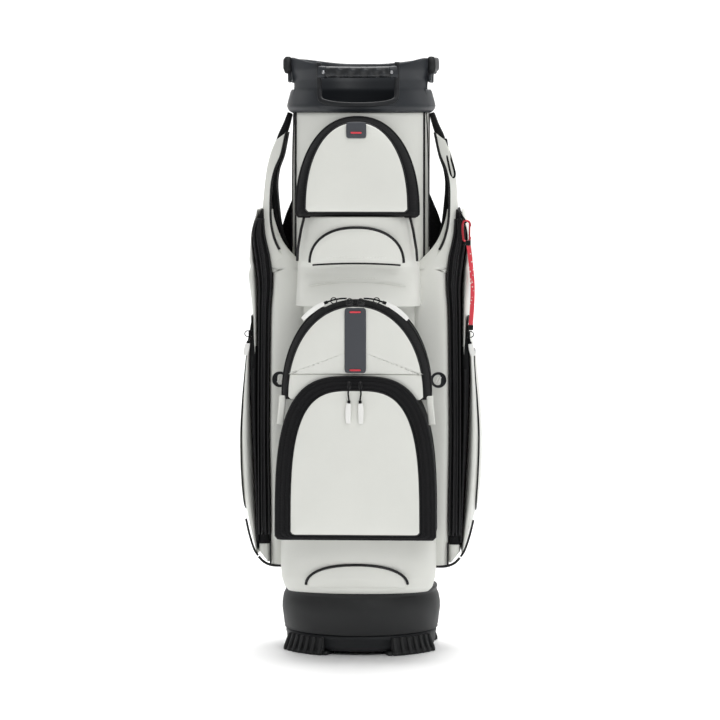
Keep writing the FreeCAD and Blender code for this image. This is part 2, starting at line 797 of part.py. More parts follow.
def build_wings():
    """Padded band that stands off the tube at each side, so that the cart's strap passes behind it."""
    wing = new_body("wing_right")
    start = "size.tube_radius + size.collar_overhang"
    bulge, thick = "size.wing_bulge", "size.wing_thickness"
    foot, waist, top = "size.side_shoulder + size.gap", "size.wing_waist", "size.wing_top"
    outline = [
        (f"{bulge} - {thick} - size.wing_tuck", foot),
        (f"{bulge}", foot),
        (f"{bulge} + size.wing_flare", waist),
        (f"{start} + {thick}", top),
        (start, top),
        (f"{bulge} - {thick} + size.wing_flare", waist),
        (f"{bulge} - {thick}", "size.wing_turn"),
    ]
    half = "size.wing_depth / 2"
    pad(wing, polygon(wing, "XZ_Plane", f"-{half}", outline), "size.wing_depth")
    mirrored(wing, "wing_left")

    web_top = "size.collar_foot - size.gap"
    half = "size.web_width / 2"
    inner = "size.tube_radius + size.gap"
    web = new_body("web_right")
    outline = [
        (start, f"{top} + size.gap"),
        (f"{start} + {thick}", f"{top} + size.gap"),
        (f"{inner} + size.web_thickness + size.web_step", web_top),
        (inner, web_top),
        (inner, f"{web_top} - size.web_drop"),
    ]
    pad(web, polygon(web, "XZ_Plane", f"-{half}", outline), "size.web_width")
    mirrored(web, "web_left")

    gusset = new_body("pass_gusset_right")
    root = "size.tube_radius - size.gusset_root"
    outline = [
        (root, foot),
        (f"{bulge} - {thick} - size.wing_tuck - size.gap", foot),
        (f"{bulge} - {thick} - size.gusset_clear", "size.wing_turn"),
        (root, "size.gusset_top"),
    ]
    pad(gusset, polygon(gusset, "XZ_Plane", "-size.wing_depth / 2", outline), "size.gusset_thickness")
    clear_tube(gusset, "size.side_shoulder", "size.gusset_top")
    mirrored(gusset, "pass_gusset_left")


def build_badges():
    """Round moulded badges, one on each side of the cooler pocket."""
    face = "-size.side_ahead - size.gap"
    radius, thickness, height = "size.badge_radius", "size.badge_thickness", "size.badge_height"
    badges = [
        button(f"badge_{name}", radius, thickness, (across, face, height))
        for name, across in (("right", "size.badge_across"), ("left", "-size.badge_across"))
    ]
    group("badges", badges)


# ---- lanyard and shoulder strap


def build_lanyard():
    """Carabiner hung from a cord loop, its sprung gate, and the strap below it."""
    wire, across, top = "size.clip_wire", "size.clip_across", "size.clip_top"
    ahead = "size.clip_ahead"
    outer = rectangle(across, f"{top} - size.clip_length", f"{across} + size.clip_width", top)
    clip = plate("carabiner", ahead, wire, outer)
    inner = rectangle(
        f"{across} + {wire}", f"{top} - size.clip_length + {wire}",
        f"{across} + size.clip_width + size.gap", f"{top} - {wire}",
    )
    round_edges(clip, "size.clip_round", FORWARD)
    cut(clip, polygon(clip, "XZ_Plane", ahead, inner), wire, inward=False)
    gate_foot, gate_top = f"{top} - size.clip_length + {wire} + size.gap", f"{top} - {wire} - size.gap"
    right = f"{across} + size.clip_width"
    plate("carabiner_gate", ahead, wire, rectangle(f"{right} - {wire}", gate_foot, right, gate_top))
    middle = f"{across} + size.clip_width - size.lanyard_width / 2"
    strap_top = f"{top} - size.clip_length - size.gap"
    half = "size.lanyard_width / 2"
    run = f"size.lanyard_length / {len(LANYARD_SWAY) - 1}"
    line = [
        (f"{middle} + {sway} * size.lanyard_drift", f"{strap_top} - {step} * {run}")
        for step, sway in enumerate(LANYARD_SWAY)
    ]
    outline = [(f"{place} + {half}", height) for place, height in line]
    outline += [(f"{place} - {half}", height) for place, height in reversed(line)]
    plate("lanyard", f"{ahead} + size.gap", "size.lanyard_thickness", outline)


def build_shoulder_strap():
    """Padded strap down the back, bowed out between two swivel clips."""
    strap = new_body("shoulder_strap")
    near = "size.tube_radius + size.spine_thickness + size.gap"
    thick, bow = "size.strap_thickness", "size.strap_bow"
    foot, top, step = "size.strap_foot", "size.strap_top", "size.strap_step"
    outline = [
        (near, foot),
        (f"{near} + {thick}", foot),
        (f"{near} + {bow} + {thick}", f"{foot} + {step}"),
        (f"{near} + {bow} + {thick}", f"{top} - {step}"),
        (f"{near} + {thick}", top),
        (near, top),
        (f"{near} + {bow}", f"{top} - {step}"),
        (f"{near} + {bow}", f"{foot} + {step}"),
    ]
    half = "size.strap_width / 2"
    pad(strap, polygon(strap, "YZ_Plane", f"-{half}", outline), "size.strap_width")


def check_and_write():
    """Stops on any failed feature or shape, then writes each sub-part to its own file."""
    doc.recompute()
    failed = [item.Name for item in doc.Objects if {"Invalid", "Error"} & set(item.State)]
    if failed:
        raise RuntimeError(f"features failed: {failed}")
    for piece in SUBPARTS:
        if piece.Shape.isNull() or not piece.Shape.isValid():
            raise RuntimeError(f"{piece.Label} has no valid shape")
    os.makedirs("parts", exist_ok=True)
    for piece in SUBPARTS:
        piece.Shape.exportStep(f"parts/{piece.Label}.step")


build_base()
build_tube()
build_collar()
build_handles()
build_grid()
build_upper_pocket()
build_slip_pocket()
build_cooler_pocket()
build_ball_pocket()
build_lower_panel()
build_sliders()
build_side_pockets()
build_side_sliders()
build_wings()
build_badges()
build_lanyard()
build_shoulder_strap()
check_and_write()
print(len(SUBPARTS), "sub-parts written")
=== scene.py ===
import math

import bpy
import numpy as np
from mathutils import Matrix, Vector


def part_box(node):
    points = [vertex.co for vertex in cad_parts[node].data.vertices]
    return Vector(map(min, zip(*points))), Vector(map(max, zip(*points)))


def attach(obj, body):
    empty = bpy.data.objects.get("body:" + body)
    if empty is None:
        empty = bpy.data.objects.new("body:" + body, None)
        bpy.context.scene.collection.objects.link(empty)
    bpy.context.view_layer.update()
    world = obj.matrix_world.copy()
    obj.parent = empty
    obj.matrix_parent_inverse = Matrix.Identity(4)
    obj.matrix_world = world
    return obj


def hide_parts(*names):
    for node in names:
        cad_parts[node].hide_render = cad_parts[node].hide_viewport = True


bl_info = {
    "name": "Golf cart bag",
    "version": (1, 0, 0),
    "blender": (4, 5, 0),
    "location": "3D Viewport > Sidebar > Golf bag",
    "description": "Covers a packed golf bag frame with its sewn, moulded and metal pieces",
    "category": "Object",
}

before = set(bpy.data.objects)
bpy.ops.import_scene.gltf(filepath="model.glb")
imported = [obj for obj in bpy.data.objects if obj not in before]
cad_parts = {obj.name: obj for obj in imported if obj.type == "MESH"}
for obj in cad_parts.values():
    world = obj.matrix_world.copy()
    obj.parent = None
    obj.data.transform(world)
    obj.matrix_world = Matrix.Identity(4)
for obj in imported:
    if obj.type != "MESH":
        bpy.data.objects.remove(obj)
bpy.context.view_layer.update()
MM = 0.001
SENSOR = 36
SIDE_SHIFT = -0.0018


def cad(node):
    """Lowest and highest corner of a CAD node, as two arrays in metres."""
    low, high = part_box(node)
    return np.array(low), np.array(high)


def centre_of(node, axis):
    """Middle of a CAD node along an axis, in millimetres."""
    low, high = cad(node)
    return float(low[axis] + high[axis]) / 2 / MM


COLLAR_FOOT = cad("top_collar")[0][2] / MM
COLLAR_TOP = cad("top_collar")[1][2] / MM
BOOT_TOP = cad("base_boot")[1][2] / MM


# ---- geometry: every surface is a grid of rings worked out as whole arrays


def mesh_piece(name, points, faces, material, smooth=True):
    """A mesh object from an (n, 3) array and an (m, 4) array of corner numbers."""
    mesh = bpy.data.meshes.new(name)
    mesh.vertices.add(len(points))
    mesh.vertices.foreach_set("co", np.asarray(points, dtype=np.float32).ravel())
    sizes = np.full(len(faces), faces.shape[1])
    mesh.loops.add(int(sizes.sum()))
    mesh.loops.foreach_set("vertex_index", faces.astype(np.int32).ravel())
    mesh.polygons.add(len(faces))
    mesh.polygons.foreach_set("loop_start", (np.cumsum(sizes) - sizes).astype(np.int32))
    mesh.polygons.foreach_set("use_smooth", np.full(len(faces), smooth))
    mesh.update(calc_edges=True)
    mesh.validate()
    piece = bpy.data.objects.new(name, mesh)
    bpy.context.collection.objects.link(piece)
    mesh.materials.append(material)
    return piece


def grid_faces(rows, columns, wrap_rows=False, wrap_columns=True):
    """Corner numbers of the four-sided faces between neighbouring rows of a grid of points."""
    row = np.arange(rows if wrap_rows else rows - 1)
    column = np.arange(columns if wrap_columns else columns - 1)
    row, column = np.meshgrid(row, column, indexing="ij")
    next_row, next_column = (row + 1) % rows, (column + 1) % columns
    corners = (row * columns + column, row * columns + next_column)
    corners += (next_row * columns + next_column, next_row * columns + column)
    return np.stack([corner.ravel() for corner in corners], axis=1)


def turned_outwards(points, faces):
    """The same faces, reversed if the volume they enclose comes out negative."""
    a, b, c, d = (points[faces[:, k]] for k in range(4))
    volume = np.einsum("ij,ij->i", a, np.cross(b, c)).sum() + np.einsum("ij,ij->i", a, np.cross(c, d)).sum()
    return faces if volume > 0 else faces[:, ::-1]


def shell(name, rings, material, closed_ends=True, wrap_rows=False):
    """A closed skin through rings of equal length; each end is shrunk to a point to shut it."""
    rings = [np.asarray(ring) for ring in rings]
    if closed_ends and not wrap_rows:
        first, last = rings[0], rings[-1]
        rings = [first + (first.mean(0) - first) * 0.999] + rings
        rings = rings + [last + (last.mean(0) - last) * 0.999]
    points = np.concatenate(rings)
    faces = grid_faces(len(rings), len(rings[0]), wrap_rows)
    return mesh_piece(name, points, turned_outwards(points, faces), material)


def resample(line, count, closed=False):
    """Points spread evenly by length along a polyline."""
    line = np.asarray(line, dtype=float)
    if closed:
        line = np.concatenate([line, line[:1]])
    spans = np.linalg.norm(np.diff(line, axis=0), axis=1)
    run = np.concatenate([[0], np.cumsum(spans)])
    at = np.linspace(0, run[-1], count, endpoint=not closed)
    return np.stack([np.interp(at, run, line[:, k]) for k in range(line.shape[1])], axis=1)


def smooth_line(points, count, closed=False):
    """A Catmull-Rom curve through given points: each span is a cubic whose end slopes are
    half the step between the neighbours of each end. The result is evenly spread."""
    points = np.asarray(points, dtype=float)
    if closed:
        knots = np.concatenate([points[-1:], points, points[:2]])
    else:
        knots = np.concatenate([2 * points[:1] - points[1:2], points, 2 * points[-1:] - points[-2:-1]])
    t = np.linspace(0, 1, 24, endpoint=False)[None, :, None]
    a, b, c, d = (knots[k : len(knots) - 3 + k, None, :] for k in range(4))
    curve = 0.5 * (
        2 * b + (c - a) * t + (2 * a - 5 * b + 4 * c - d) * t**2 + (3 * b - a - 3 * c + d) * t**3
    )
    curve = curve.reshape(-1, points.shape[1])
    if not closed:
        curve = np.concatenate([curve, points[-1:]])
    return resample(curve, count, closed)


def arch(half, height, power, foot, count=160, corner=0.004):
    """Closed arch outline in (x, z): a superellipse |x/half|^p + |z/height|^p = 1 above its foot,
    shut by a straight line whose corners are eased by a short slant."""
    angle = np.linspace(0, math.pi, 200)
    x = half * np.sign(np.cos(angle)) * np.abs(np.cos(angle)) ** (2 / power)
    z = foot + corner + (height - corner) * np.abs(np.sin(angle)) ** (2 / power)
    closing = np.array([[-half + corner, foot], [half - corner, foot]])
    return resample(np.concatenate([np.stack([x, z], 1), closing]), count, closed=True)


def rounded_box(half_x, half_y, radius, count=64):
    """Closed rounded rectangle in (x, y): a superellipse whose power grows as the corner shrinks."""
    power = 2 / max(0.12, min(1.0, radius / min(half_x, half_y)))
    angle = np.linspace(0, 2 * math.pi, 400, endpoint=False)
    x = half_x * np.sign(np.cos(angle)) * np.abs(np.cos(angle)) ** (2 / power)
    y = half_y * np.sign(np.sin(angle)) * np.abs(np.sin(angle)) ** (2 / power)
    return resample(np.stack([x, y], 1), count, closed=True)


def outward(outline):
    """Unit normals of a closed outline, pointing away from its middle."""
    slope = np.roll(outline, -1, 0) - np.roll(outline, 1, 0)
    normal = np.stack([slope[:, 1], -slope[:, 0]], 1)
    normal /= np.linalg.norm(normal, axis=1, keepdims=True) + 1e-12
    away = np.einsum("ij,ij->i", normal, outline - outline.mean(0)).sum()
    return normal if away > 0 else -normal


def grown(outline, by):
    """The outline moved along its own normals."""
    return outline + outward(outline) * by


def upright(outline, y):
    """An (x, z) outline stood in the front plane at a depth, which may differ from point to point."""
    return np.stack([outline[:, 0], np.broadcast_to(y, len(outline)), outline[:, 1]], axis=1)


def depth_of_padding(points, rim):
    """How deep points lie inside a rim: the mean, over the rim, of the distances to the power -4,
    taken to the power -1/4, which is smooth where the nearest side changes."""
    gaps = np.linalg.norm(points[:, None] - rim[None], axis=2) + 1e-6
    return np.mean(gaps**-4, axis=1) ** -0.25


def panel(name, outline, front, thickness, crown, material, edge=0.003, rows=14, sag=0.0, bow=0.0):
    """A sewn, padded panel: its rim is rolled in a quarter circle, and its face rises from the rim
    as 1 - (1 - d)^2.5, d being the depth into the padding over its greatest value. sag lowers the
    fullest part; bow bends the whole panel back at its sides by bow times (x / half width)
    squared."""
    middle = outline.mean(0) - np.array([0, sag])
    half = np.abs(outline[:, 0]).max()

    def lean(shape):
        return bow * ((shape[:, 0]) / half) ** 2

    back = front + thickness
    rings = [upright(grown(outline, -0.5 * edge), back + lean(outline))]
    rings.append(upright(outline, front + edge + 0.3 * (thickness - edge) + lean(outline)))
    for turn in np.linspace(0, math.pi / 2, 6):
        ring = grown(outline, -edge * (1 - math.cos(turn)))
        rings.append(upright(ring, front + edge * (1 - math.sin(turn)) + lean(ring)))
    rim = grown(outline, -edge)
    full = depth_of_padding(middle[None], rim)
    crown *= bpy.context.scene.bag_sizes.padding
    for reach in np.linspace(1, 0, rows + 1)[1:]:
        ring = middle + (rim - middle) * max(reach, 0.002)
        rise = 1 - (1 - np.minimum(depth_of_padding(ring, rim) / full, 1)) ** 2.5
        rings.append(upright(ring, front - crown * rise + lean(ring)))
    return shell(name, rings, material)


def swept(name, path, across, thick, material, up=(0, -1, 0), closed=False, count=None, power=1.0):
    """A band or cord carried along a path: its section is a superellipse across wide and thick
    deep; up is the direction its flat side faces as nearly as the path allows."""
    path = np.asarray(path, dtype=float)
    if count:
        path = resample(path, count, closed)
    slope = np.roll(path, -1, 0) - np.roll(path, 1, 0)
    if not closed:
        slope[0], slope[-1] = path[1] - path[0], path[-1] - path[-2]
    slope /= np.linalg.norm(slope, axis=1, keepdims=True)
    facing = np.broadcast_to(np.asarray(up, dtype=float), path.shape)
    side = np.cross(slope, facing)
    side /= np.linalg.norm(side, axis=1, keepdims=True) + 1e-12
    facing = np.cross(side, slope)
    angle = np.linspace(0, 2 * math.pi, 12 if power == 1.0 else 20, endpoint=False)
    wide = np.sign(np.cos(angle)) * np.abs(np.cos(angle)) ** power
    deep = np.sign(np.sin(angle)) * np.abs(np.sin(angle)) ** power
    widths = np.broadcast_to(across, len(path))[:, None, None] / 2
    depths = np.broadcast_to(thick, len(path))[:, None, None] / 2
    rings = path[:, None] + side[:, None] * (wide[None, :, None] * widths)
    rings = rings + facing[:, None] * (deep[None, :, None] * depths)
    return shell(name, list(rings), material, closed_ends=not closed, wrap_rows=closed)


def cord_along(name, path, width, **more):
    """A round vinyl cord carried along a path."""
    return swept(name, path, width, width, MATERIALS["piping"], **more)


def joined(name, pieces):
    """Several loose pieces made into one object."""
    for other in bpy.context.selected_objects:
        other.select_set(False)
    for piece in pieces:
        piece.select_set(True)
    bpy.context.view_layer.objects.active = pieces[0]
    bpy.ops.object.join()
    pieces[0].name = name
    return pieces[0]


def mirrored(piece, name):
    """A copy on the other side of the bag, with its faces turned the right way round."""
    mesh = piece.data.copy()
    points = np.empty(len(mesh.vertices) * 3, dtype=np.float32)
    mesh.vertices.foreach_get("co", points)
    points[::3] *= -1
    mesh.vertices.foreach_set("co", points)
    mesh.flip_normals()
    mesh.update()
    copy = bpy.data.objects.new(name, mesh)
    bpy.context.collection.objects.link(copy)
    return copy


def place(piece, body, slot, *nodes):
    """Gives a finished piece its body and hides the CAD nodes it stands for; slot is not used."""
    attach(piece, body)
    if nodes:
        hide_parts(*nodes)
    return piece


# ---- materials


def linear(code):
    """An sRGB hex colour turned to linear light, with full alpha."""
    parts = [int(code[k : k + 2], 16) / 255 for k in (0, 2, 4)]
    return tuple(c / 12.92 if c <= 0.04045 else ((c + 0.055) / 1.055) ** 2.4 for c in parts) + (1.0,)


def node(tree, kind, inputs=None, **settings):
    """Adds a node; inputs maps socket names or numbers to a value or to the socket to link."""
    made = tree.nodes.new(kind)
    for key, setting in settings.items():
        setattr(made, key, setting)
    for key, given in (inputs or {}).items():
        if isinstance(given, bpy.types.NodeSocket):
            tree.links.new(given, made.inputs[key])
        else:
            made.inputs[key].default_value = given
    return made


def surface(name, **shader):
    """A material with one Principled shader; returns it, its tree, the shader and the coordinates."""
    material = bpy.data.materials.new(name)
    material.use_nodes = True
    tree = material.node_tree
    tree.nodes.clear()
    inputs = {key.replace("_", " "): setting for key, setting in shader.items()}
    principled = node(tree, "ShaderNodeBsdfPrincipled", inputs)
    node(tree, "ShaderNodeOutputMaterial", {"Surface": principled.outputs[0]})
    where = node(tree, "ShaderNodeTexCoord").outputs["Object"]
    return material, tree, principled, where


def bump(tree, principled, height, strength, distance):
    """Links a height to the shader's normal."""
    made = node(tree, "ShaderNodeBump", {"Height": height, "Strength": strength, "Distance": distance})
    tree.links.new(made.outputs[0], principled.inputs["Normal"])


def shade(colour, brightness):
    """A linear colour made darker or lighter, with full alpha."""
    return tuple(min(1.0, part * brightness) for part in colour[:3]) + (1.0,)


def tinted(tree, principled, factor, low, high):
    """Colours the surface between two linear colours by a factor."""
    shades = node(tree, "ShaderNodeMix", {0: factor, 6: low, 7: high}, data_type="RGBA")
    tree.links.new(shades.outputs[2], principled.inputs["Base Color"])


def per(millimetres):
    """Texture scale that repeats once in that many millimetres."""
    return 1000 / millimetres


def coated_leather(name, colour):
    """Polyurethane-coated cloth: a fine pebble embossed by a roller, so it shows soft broad
    highlights, a faint mottling and gentle puckers. The 1 mm pebble is drawn at 1.6 mm to show."""
    material, tree, principled, where = surface(
        name, Roughness=0.46, IOR=1.5, Coat_Weight=0.08, Coat_Roughness=0.35
    )
    pebble = node(tree, "ShaderNodeTexVoronoi", {"Vector": where, "Scale": per(1.6)})
    pucker = node(tree, "ShaderNodeTexNoise", {"Vector": where, "Scale": per(45), "Detail": 3.0})
    mottle = node(tree, "ShaderNodeTexNoise", {"Vector": where, "Scale": per(120), "Detail": 5.0})
    both = node(tree, "ShaderNodeMath", {0: pucker.outputs[0], 1: 9.0}, operation="MULTIPLY")
    total = node(tree, "ShaderNodeMath", {0: both.outputs[0], 1: pebble.outputs[0]}, operation="ADD")
    bump(tree, principled, total.outputs[0], 0.22, 0.0004)
    tinted(tree, principled, mottle.outputs[0], shade(colour, 0.93), shade(colour, 1.07))
    return material


def woven(name, colour, thread=1.2, rough=0.85, depth=0.5):
    """Plain weave: two crossed ribs, one along each diagonal of the surface, so the threads read
    from any side. The 0.5 mm yarn is drawn at the thread size given."""
    material, tree, principled, where = surface(name, Roughness=rough, Specular_IOR_Level=0.25)
    ribs = {"Vector": where, "Scale": per(thread) / 6.3, "Distortion": 0.4}
    across = node(tree, "ShaderNodeTexWave", ribs, bands_direction="DIAGONAL")
    along = node(tree, "ShaderNodeTexWave", ribs, bands_direction="Z")
    weave = node(tree, "ShaderNodeMath", {0: across.outputs[1], 1: along.outputs[1]}, operation="MULTIPLY")
    bump(tree, principled, weave.outputs[0], depth, 0.0004)
    # The colour follows the weave's height, 0.6 times in the hollows between threads and 1.4 times on their
    # crowns: painted shade between the threads and a painted highlight on them.
    tinted(tree, principled, weave.outputs[0], shade(colour, 0.6), shade(colour, 1.4))
    return material


def moulded(name, colour, rough=0.42, grain=0.9, strength=0.25):
    """Injection-moulded plastic or rubber with a spark-eroded skin: an even fine grain that
    breaks up the highlight, and a slightly uneven gloss where hands and ground have rubbed it."""
    material, tree, principled, where = surface(name, IOR=1.49, Specular_IOR_Level=0.35)
    grit = node(tree, "ShaderNodeTexNoise", {"Vector": where, "Scale": per(grain), "Detail": 2.0})
    wear = node(tree, "ShaderNodeTexNoise", {"Vector": where, "Scale": per(70), "Detail": 4.0})
    spread = {"From Min": 0.3, "From Max": 0.7, "To Min": rough - 0.06, "To Max": rough + 0.08}
    gloss = node(tree, "ShaderNodeMapRange", {"Value": wear.outputs[0], **spread})
    tree.links.new(gloss.outputs[0], principled.inputs["Roughness"])
    bump(tree, principled, grit.outputs[0], strength, 0.0002)
    tinted(tree, principled, wear.outputs[0], shade(colour, 0.88), shade(colour, 1.12))
    return material


def diamond_grip(name, colour):
    """Soft rubber with raised diamonds 5 mm across: two slanting sets of grooves."""
    material, tree, principled, where = surface(name, Roughness=0.38, IOR=1.5)
    heights = []
    for turn in (0.785, -0.785):
        slant = node(tree, "ShaderNodeMapping", {"Vector": where, "Rotation": (0, turn, turn)})
        groove = node(tree, "ShaderNodeTexWave", {"Vector": slant.outputs[0], "Scale": per(5) / 6.3})
        heights.append(groove.outputs[1])
    crossed = node(tree, "ShaderNodeMath", {0: heights[0], 1: heights[1]}, operation="MULTIPLY")
    bump(tree, principled, crossed.outputs[0], 0.9, 0.0012)
    # The colour follows the grooves' height, 0.6 times in the grooves and 1.4 times on the diamonds:
    # painted shade in the grooves and a painted highlight on the diamonds.
    tinted(tree, principled, crossed.outputs[0], shade(colour, 0.6), shade(colour, 1.4))
    return material


def zip_tape(name, colour):
    """Nylon zip tape: fine cross ribs of 2 mm, which catch a thin line of light each."""
    material, tree, principled, where = surface(name, Roughness=0.7, Specular_IOR_Level=0.3)
    ribs = node(tree, "ShaderNodeTexWave", {"Vector": where, "Scale": per(2) / 6.3}, bands_direction="Z")
    bump(tree, principled, ribs.outputs[1], 0.6, 0.0005)
    # The colour follows the ribs' height, 0.7 times between the ribs and 1.6 times on each crest: a painted
    # highlight along each rib and painted shade between them.
    tinted(tree, principled, ribs.outputs[1], shade(colour, 0.7), shade(colour, 1.6))
    return material


def lacquered(name, colour, metallic=0.0, rough=0.3):
    """Die-cast or turned metal under a thin lacquer: smooth, with faint handling marks."""
    material, tree, principled, where = surface(name, Metallic=metallic, Roughness=rough, Coat_Weight=0.3)
    marks = node(tree, "ShaderNodeTexNoise", {"Vector": where, "Scale": per(9), "Detail": 5.0})
    bump(tree, principled, marks.outputs[0], 0.08, 0.0003)
    tinted(tree, principled, marks.outputs[0], shade(colour, 0.85), shade(colour, 1.15))
    return material


def patterned_web(name, colour, flecks):
    """Jacquard webbing: pale flecks woven in a 4.5 mm repeat, with no lettering."""
    material, tree, principled, where = surface(name, Roughness=0.75)
    slant = node(tree, "ShaderNodeMapping", {"Vector": where, "Rotation": (0, 0.7, 0)})
    spots = node(
        tree, "ShaderNodeTexVoronoi", {"Vector": slant.outputs[0], "Scale": per(4.5)}, feature="F1"
    )
    spread = {"From Min": 0.18, "From Max": 0.26, "To Min": 1.0, "To Max": 0.0}
    pale = node(tree, "ShaderNodeMapRange", {"Value": spots.outputs[0], **spread})
    ribs = node(tree, "ShaderNodeTexWave", {"Vector": where, "Scale": per(1.2) / 6.3}, bands_direction="Z")
    bump(tree, principled, ribs.outputs[1], 0.4, 0.0003)
    tinted(tree, principled, pale.outputs[0], shade(colour, 1.0), shade(flecks, 1.0))
    return material


MATERIALS = {}


def make_materials(colours):
    """Every finish once, by the name the pieces ask for."""
    steel, foil = linear("a2a3a5"), linear("b0b2b4")
    MATERIALS.update(
        cover=coated_leather("coated_leather", colours.cover),
        # The next finish is the cover's own cloth at 0.96 of its colour: painted shade for the side
        # pockets, the spine board and the bib seam.
        cover_shade=coated_leather("coated_leather_painted_shade", shade(colours.cover, 0.96)),
        gusset=woven("gusset_weave", colours.gusset),
        mesh=woven("spacer_mesh", colours.gusset, thread=2.2, depth=0.9),
        webbing=woven("strap_webbing", colours.gusset, thread=1.6, depth=0.8),
        piping=moulded("vinyl_piping", colours.gusset, rough=0.38, strength=0.1),
        tape=zip_tape("zip_tape", colours.gusset),
        collar=moulded("collar_polymer", colours.plastic, rough=0.44),
        dark=moulded("inner_polymer", shade(colours.plastic, 0.4), rough=0.55),
        boot=moulded("boot_rubber", colours.rubber, rough=0.55, grain=1.4, strength=0.4),
        grip=diamond_grip("diamond_grip", shade(colours.plastic, 0.6)),
        label=moulded("label_film", colours.label, rough=0.5, strength=0.15),
        red_bar=moulded("red_weld", colours.accent, rough=0.4),
        metal=lacquered("zip_lacquer", colours.gusset, metallic=0.6, rough=0.28),
        pull=moulded("pull_rubber", colours.pull, rough=0.4, strength=0.1),
        cord=woven("pull_cord", colours.gusset, thread=1.0),
        red_metal=lacquered("red_anodised", shade(colours.accent, 0.8), metallic=0.7, rough=0.35),
        red_web=patterned_web("patterned_web", colours.accent, colours.cover),
        steel=lacquered("plated_steel", steel, metallic=1.0, rough=0.3),
        foil=lacquered("liner_foil", foil, metallic=0.5, rough=0.4),
        foam=moulded("closed_foam", colours.rubber, rough=0.8, grain=2.5, strength=0.6),
    )


# ---- foot of the bag


def revolved(name, profile, material, start=0.0, end=360.0, count=120):
    """A closed section in (radius, height) turned about the bag's axis between two angles."""
    profile = np.asarray(profile, dtype=float) * MM
    full = end - start >= 360
    angle = np.radians(np.linspace(start, end, count, endpoint=not full))
    rings = np.stack(
        [
            np.outer(np.cos(angle), profile[:, 0]),
            np.outer(np.sin(angle), profile[:, 0]),
            np.broadcast_to(profile[:, 1], (count, len(profile))),
        ],
        axis=2,
    )
    return shell(name, list(rings), material, closed_ends=not full, wrap_rows=full)


def eased(corners, radius=1.5):
    """A closed section whose corners are eased by two points each, radius from the corner."""
    corners = np.asarray(corners, dtype=float)
    before = np.roll(corners, 1, 0) - corners
    after = np.roll(corners, -1, 0) - corners
    before /= np.linalg.norm(before, axis=1, keepdims=True)
    after /= np.linalg.norm(after, axis=1, keepdims=True)
    cut = np.stack(
        [corners + before * radius, corners + (before + after) * radius * 0.3, corners + after * radius], 1
    )
    return cut.reshape(-1, 2)


def make_boot():
    """Boot, ring and four finned feet."""
    drops = [
        (119.5, 0), (120.6, 2.5), (119.4, 6), (119.8, 9), (122.6, 15), (124.6, 26), (124.8, 36), (123.6, 44)
    ]
    boot = [(radius, BOOT_TOP - drop) for radius, drop in drops]
    boot += [
        (121.5, 36), (120.2, 33), (121.0, 31.4), (114, 31.4), (114, BOOT_TOP - 0.6), (117, BOOT_TOP + 0.4)
    ]
    place(revolved("boot", boot, MATERIALS["boot"]), "bag", "boot_rubber", "base_boot")
    ring = [(118.8, 30.4), (118.8, 24), (117.6, 22.5), (117, 12), (115.5, 6.2), (113.4, 6.2), (113.4, 30.4)]
    place(revolved("boot_ring", ring, MATERIALS["dark"]), "bag", "collar_plastic", "base_ring")
    for across, side in ((1, "right"), (-1, "left")):
        for along, end in ((-1, "front"), (1, "back")):
            make_foot(f"foot_{end}_{side}", math.degrees(math.atan2(along, across)))


def make_foot(name, middle):
    """A shoe with a flared toe and seven upright fins that taper towards the ring."""
    half, fins = 19.0, 7
    block = eased(
        [(92, 0.3), (130.5, 0.3), (130.5, 4), (125.5, 9), (121.4, 26), (119.6, 27), (119.6, 6), (92, 5.2)],
        0.8,
    )
    pieces = [revolved(name, block, MATERIALS["boot"], middle - half, middle + half, 40)]
    for place_angle in np.linspace(-half + 1.2, half - 1.2, fins) + middle:
        fin = eased([(119, 0.6), (132.6, 0.6), (132.6, 5), (124.2, 26.5), (119, 27)], 0.7)
        pieces.append(
            revolved(f"{name}_fin", fin, MATERIALS["boot"], place_angle - 0.9, place_angle + 0.9, 4)
        )
    toe = eased([(98, 0.3), (127, 0.3), (124, 6), (100, 5)], 0.8)
    for sign in (-1, 1):
        edge = middle + sign * half
        low, high = sorted((edge, edge + sign * 3.2))
        pieces.append(revolved(f"{name}_toe", toe, MATERIALS["boot"], low, high, 6))
    place(joined(f"{name}_rubber", pieces), "bag", "boot_rubber", name)


# ---- collar and handles


def step(value, start, end):
    """Smooth rise from 0 to 1 between two values."""
    t = np.clip((value - start) / (end - start), 0, 1)
    return t * t * (3 - 2 * t)


def collar_radius(height):
    """Outer radius of the collar: rolled in at its foot, full above it, waisted, then flared."""
    rises = [0, 2, 6, 11, 20, 37, 52, 68, 88]
    radii = [109.6, 113, 116, 117.6, 115.6, 111.0, 113, 118, 120.5]
    return np.interp(height - COLLAR_FOOT, rises, radii)


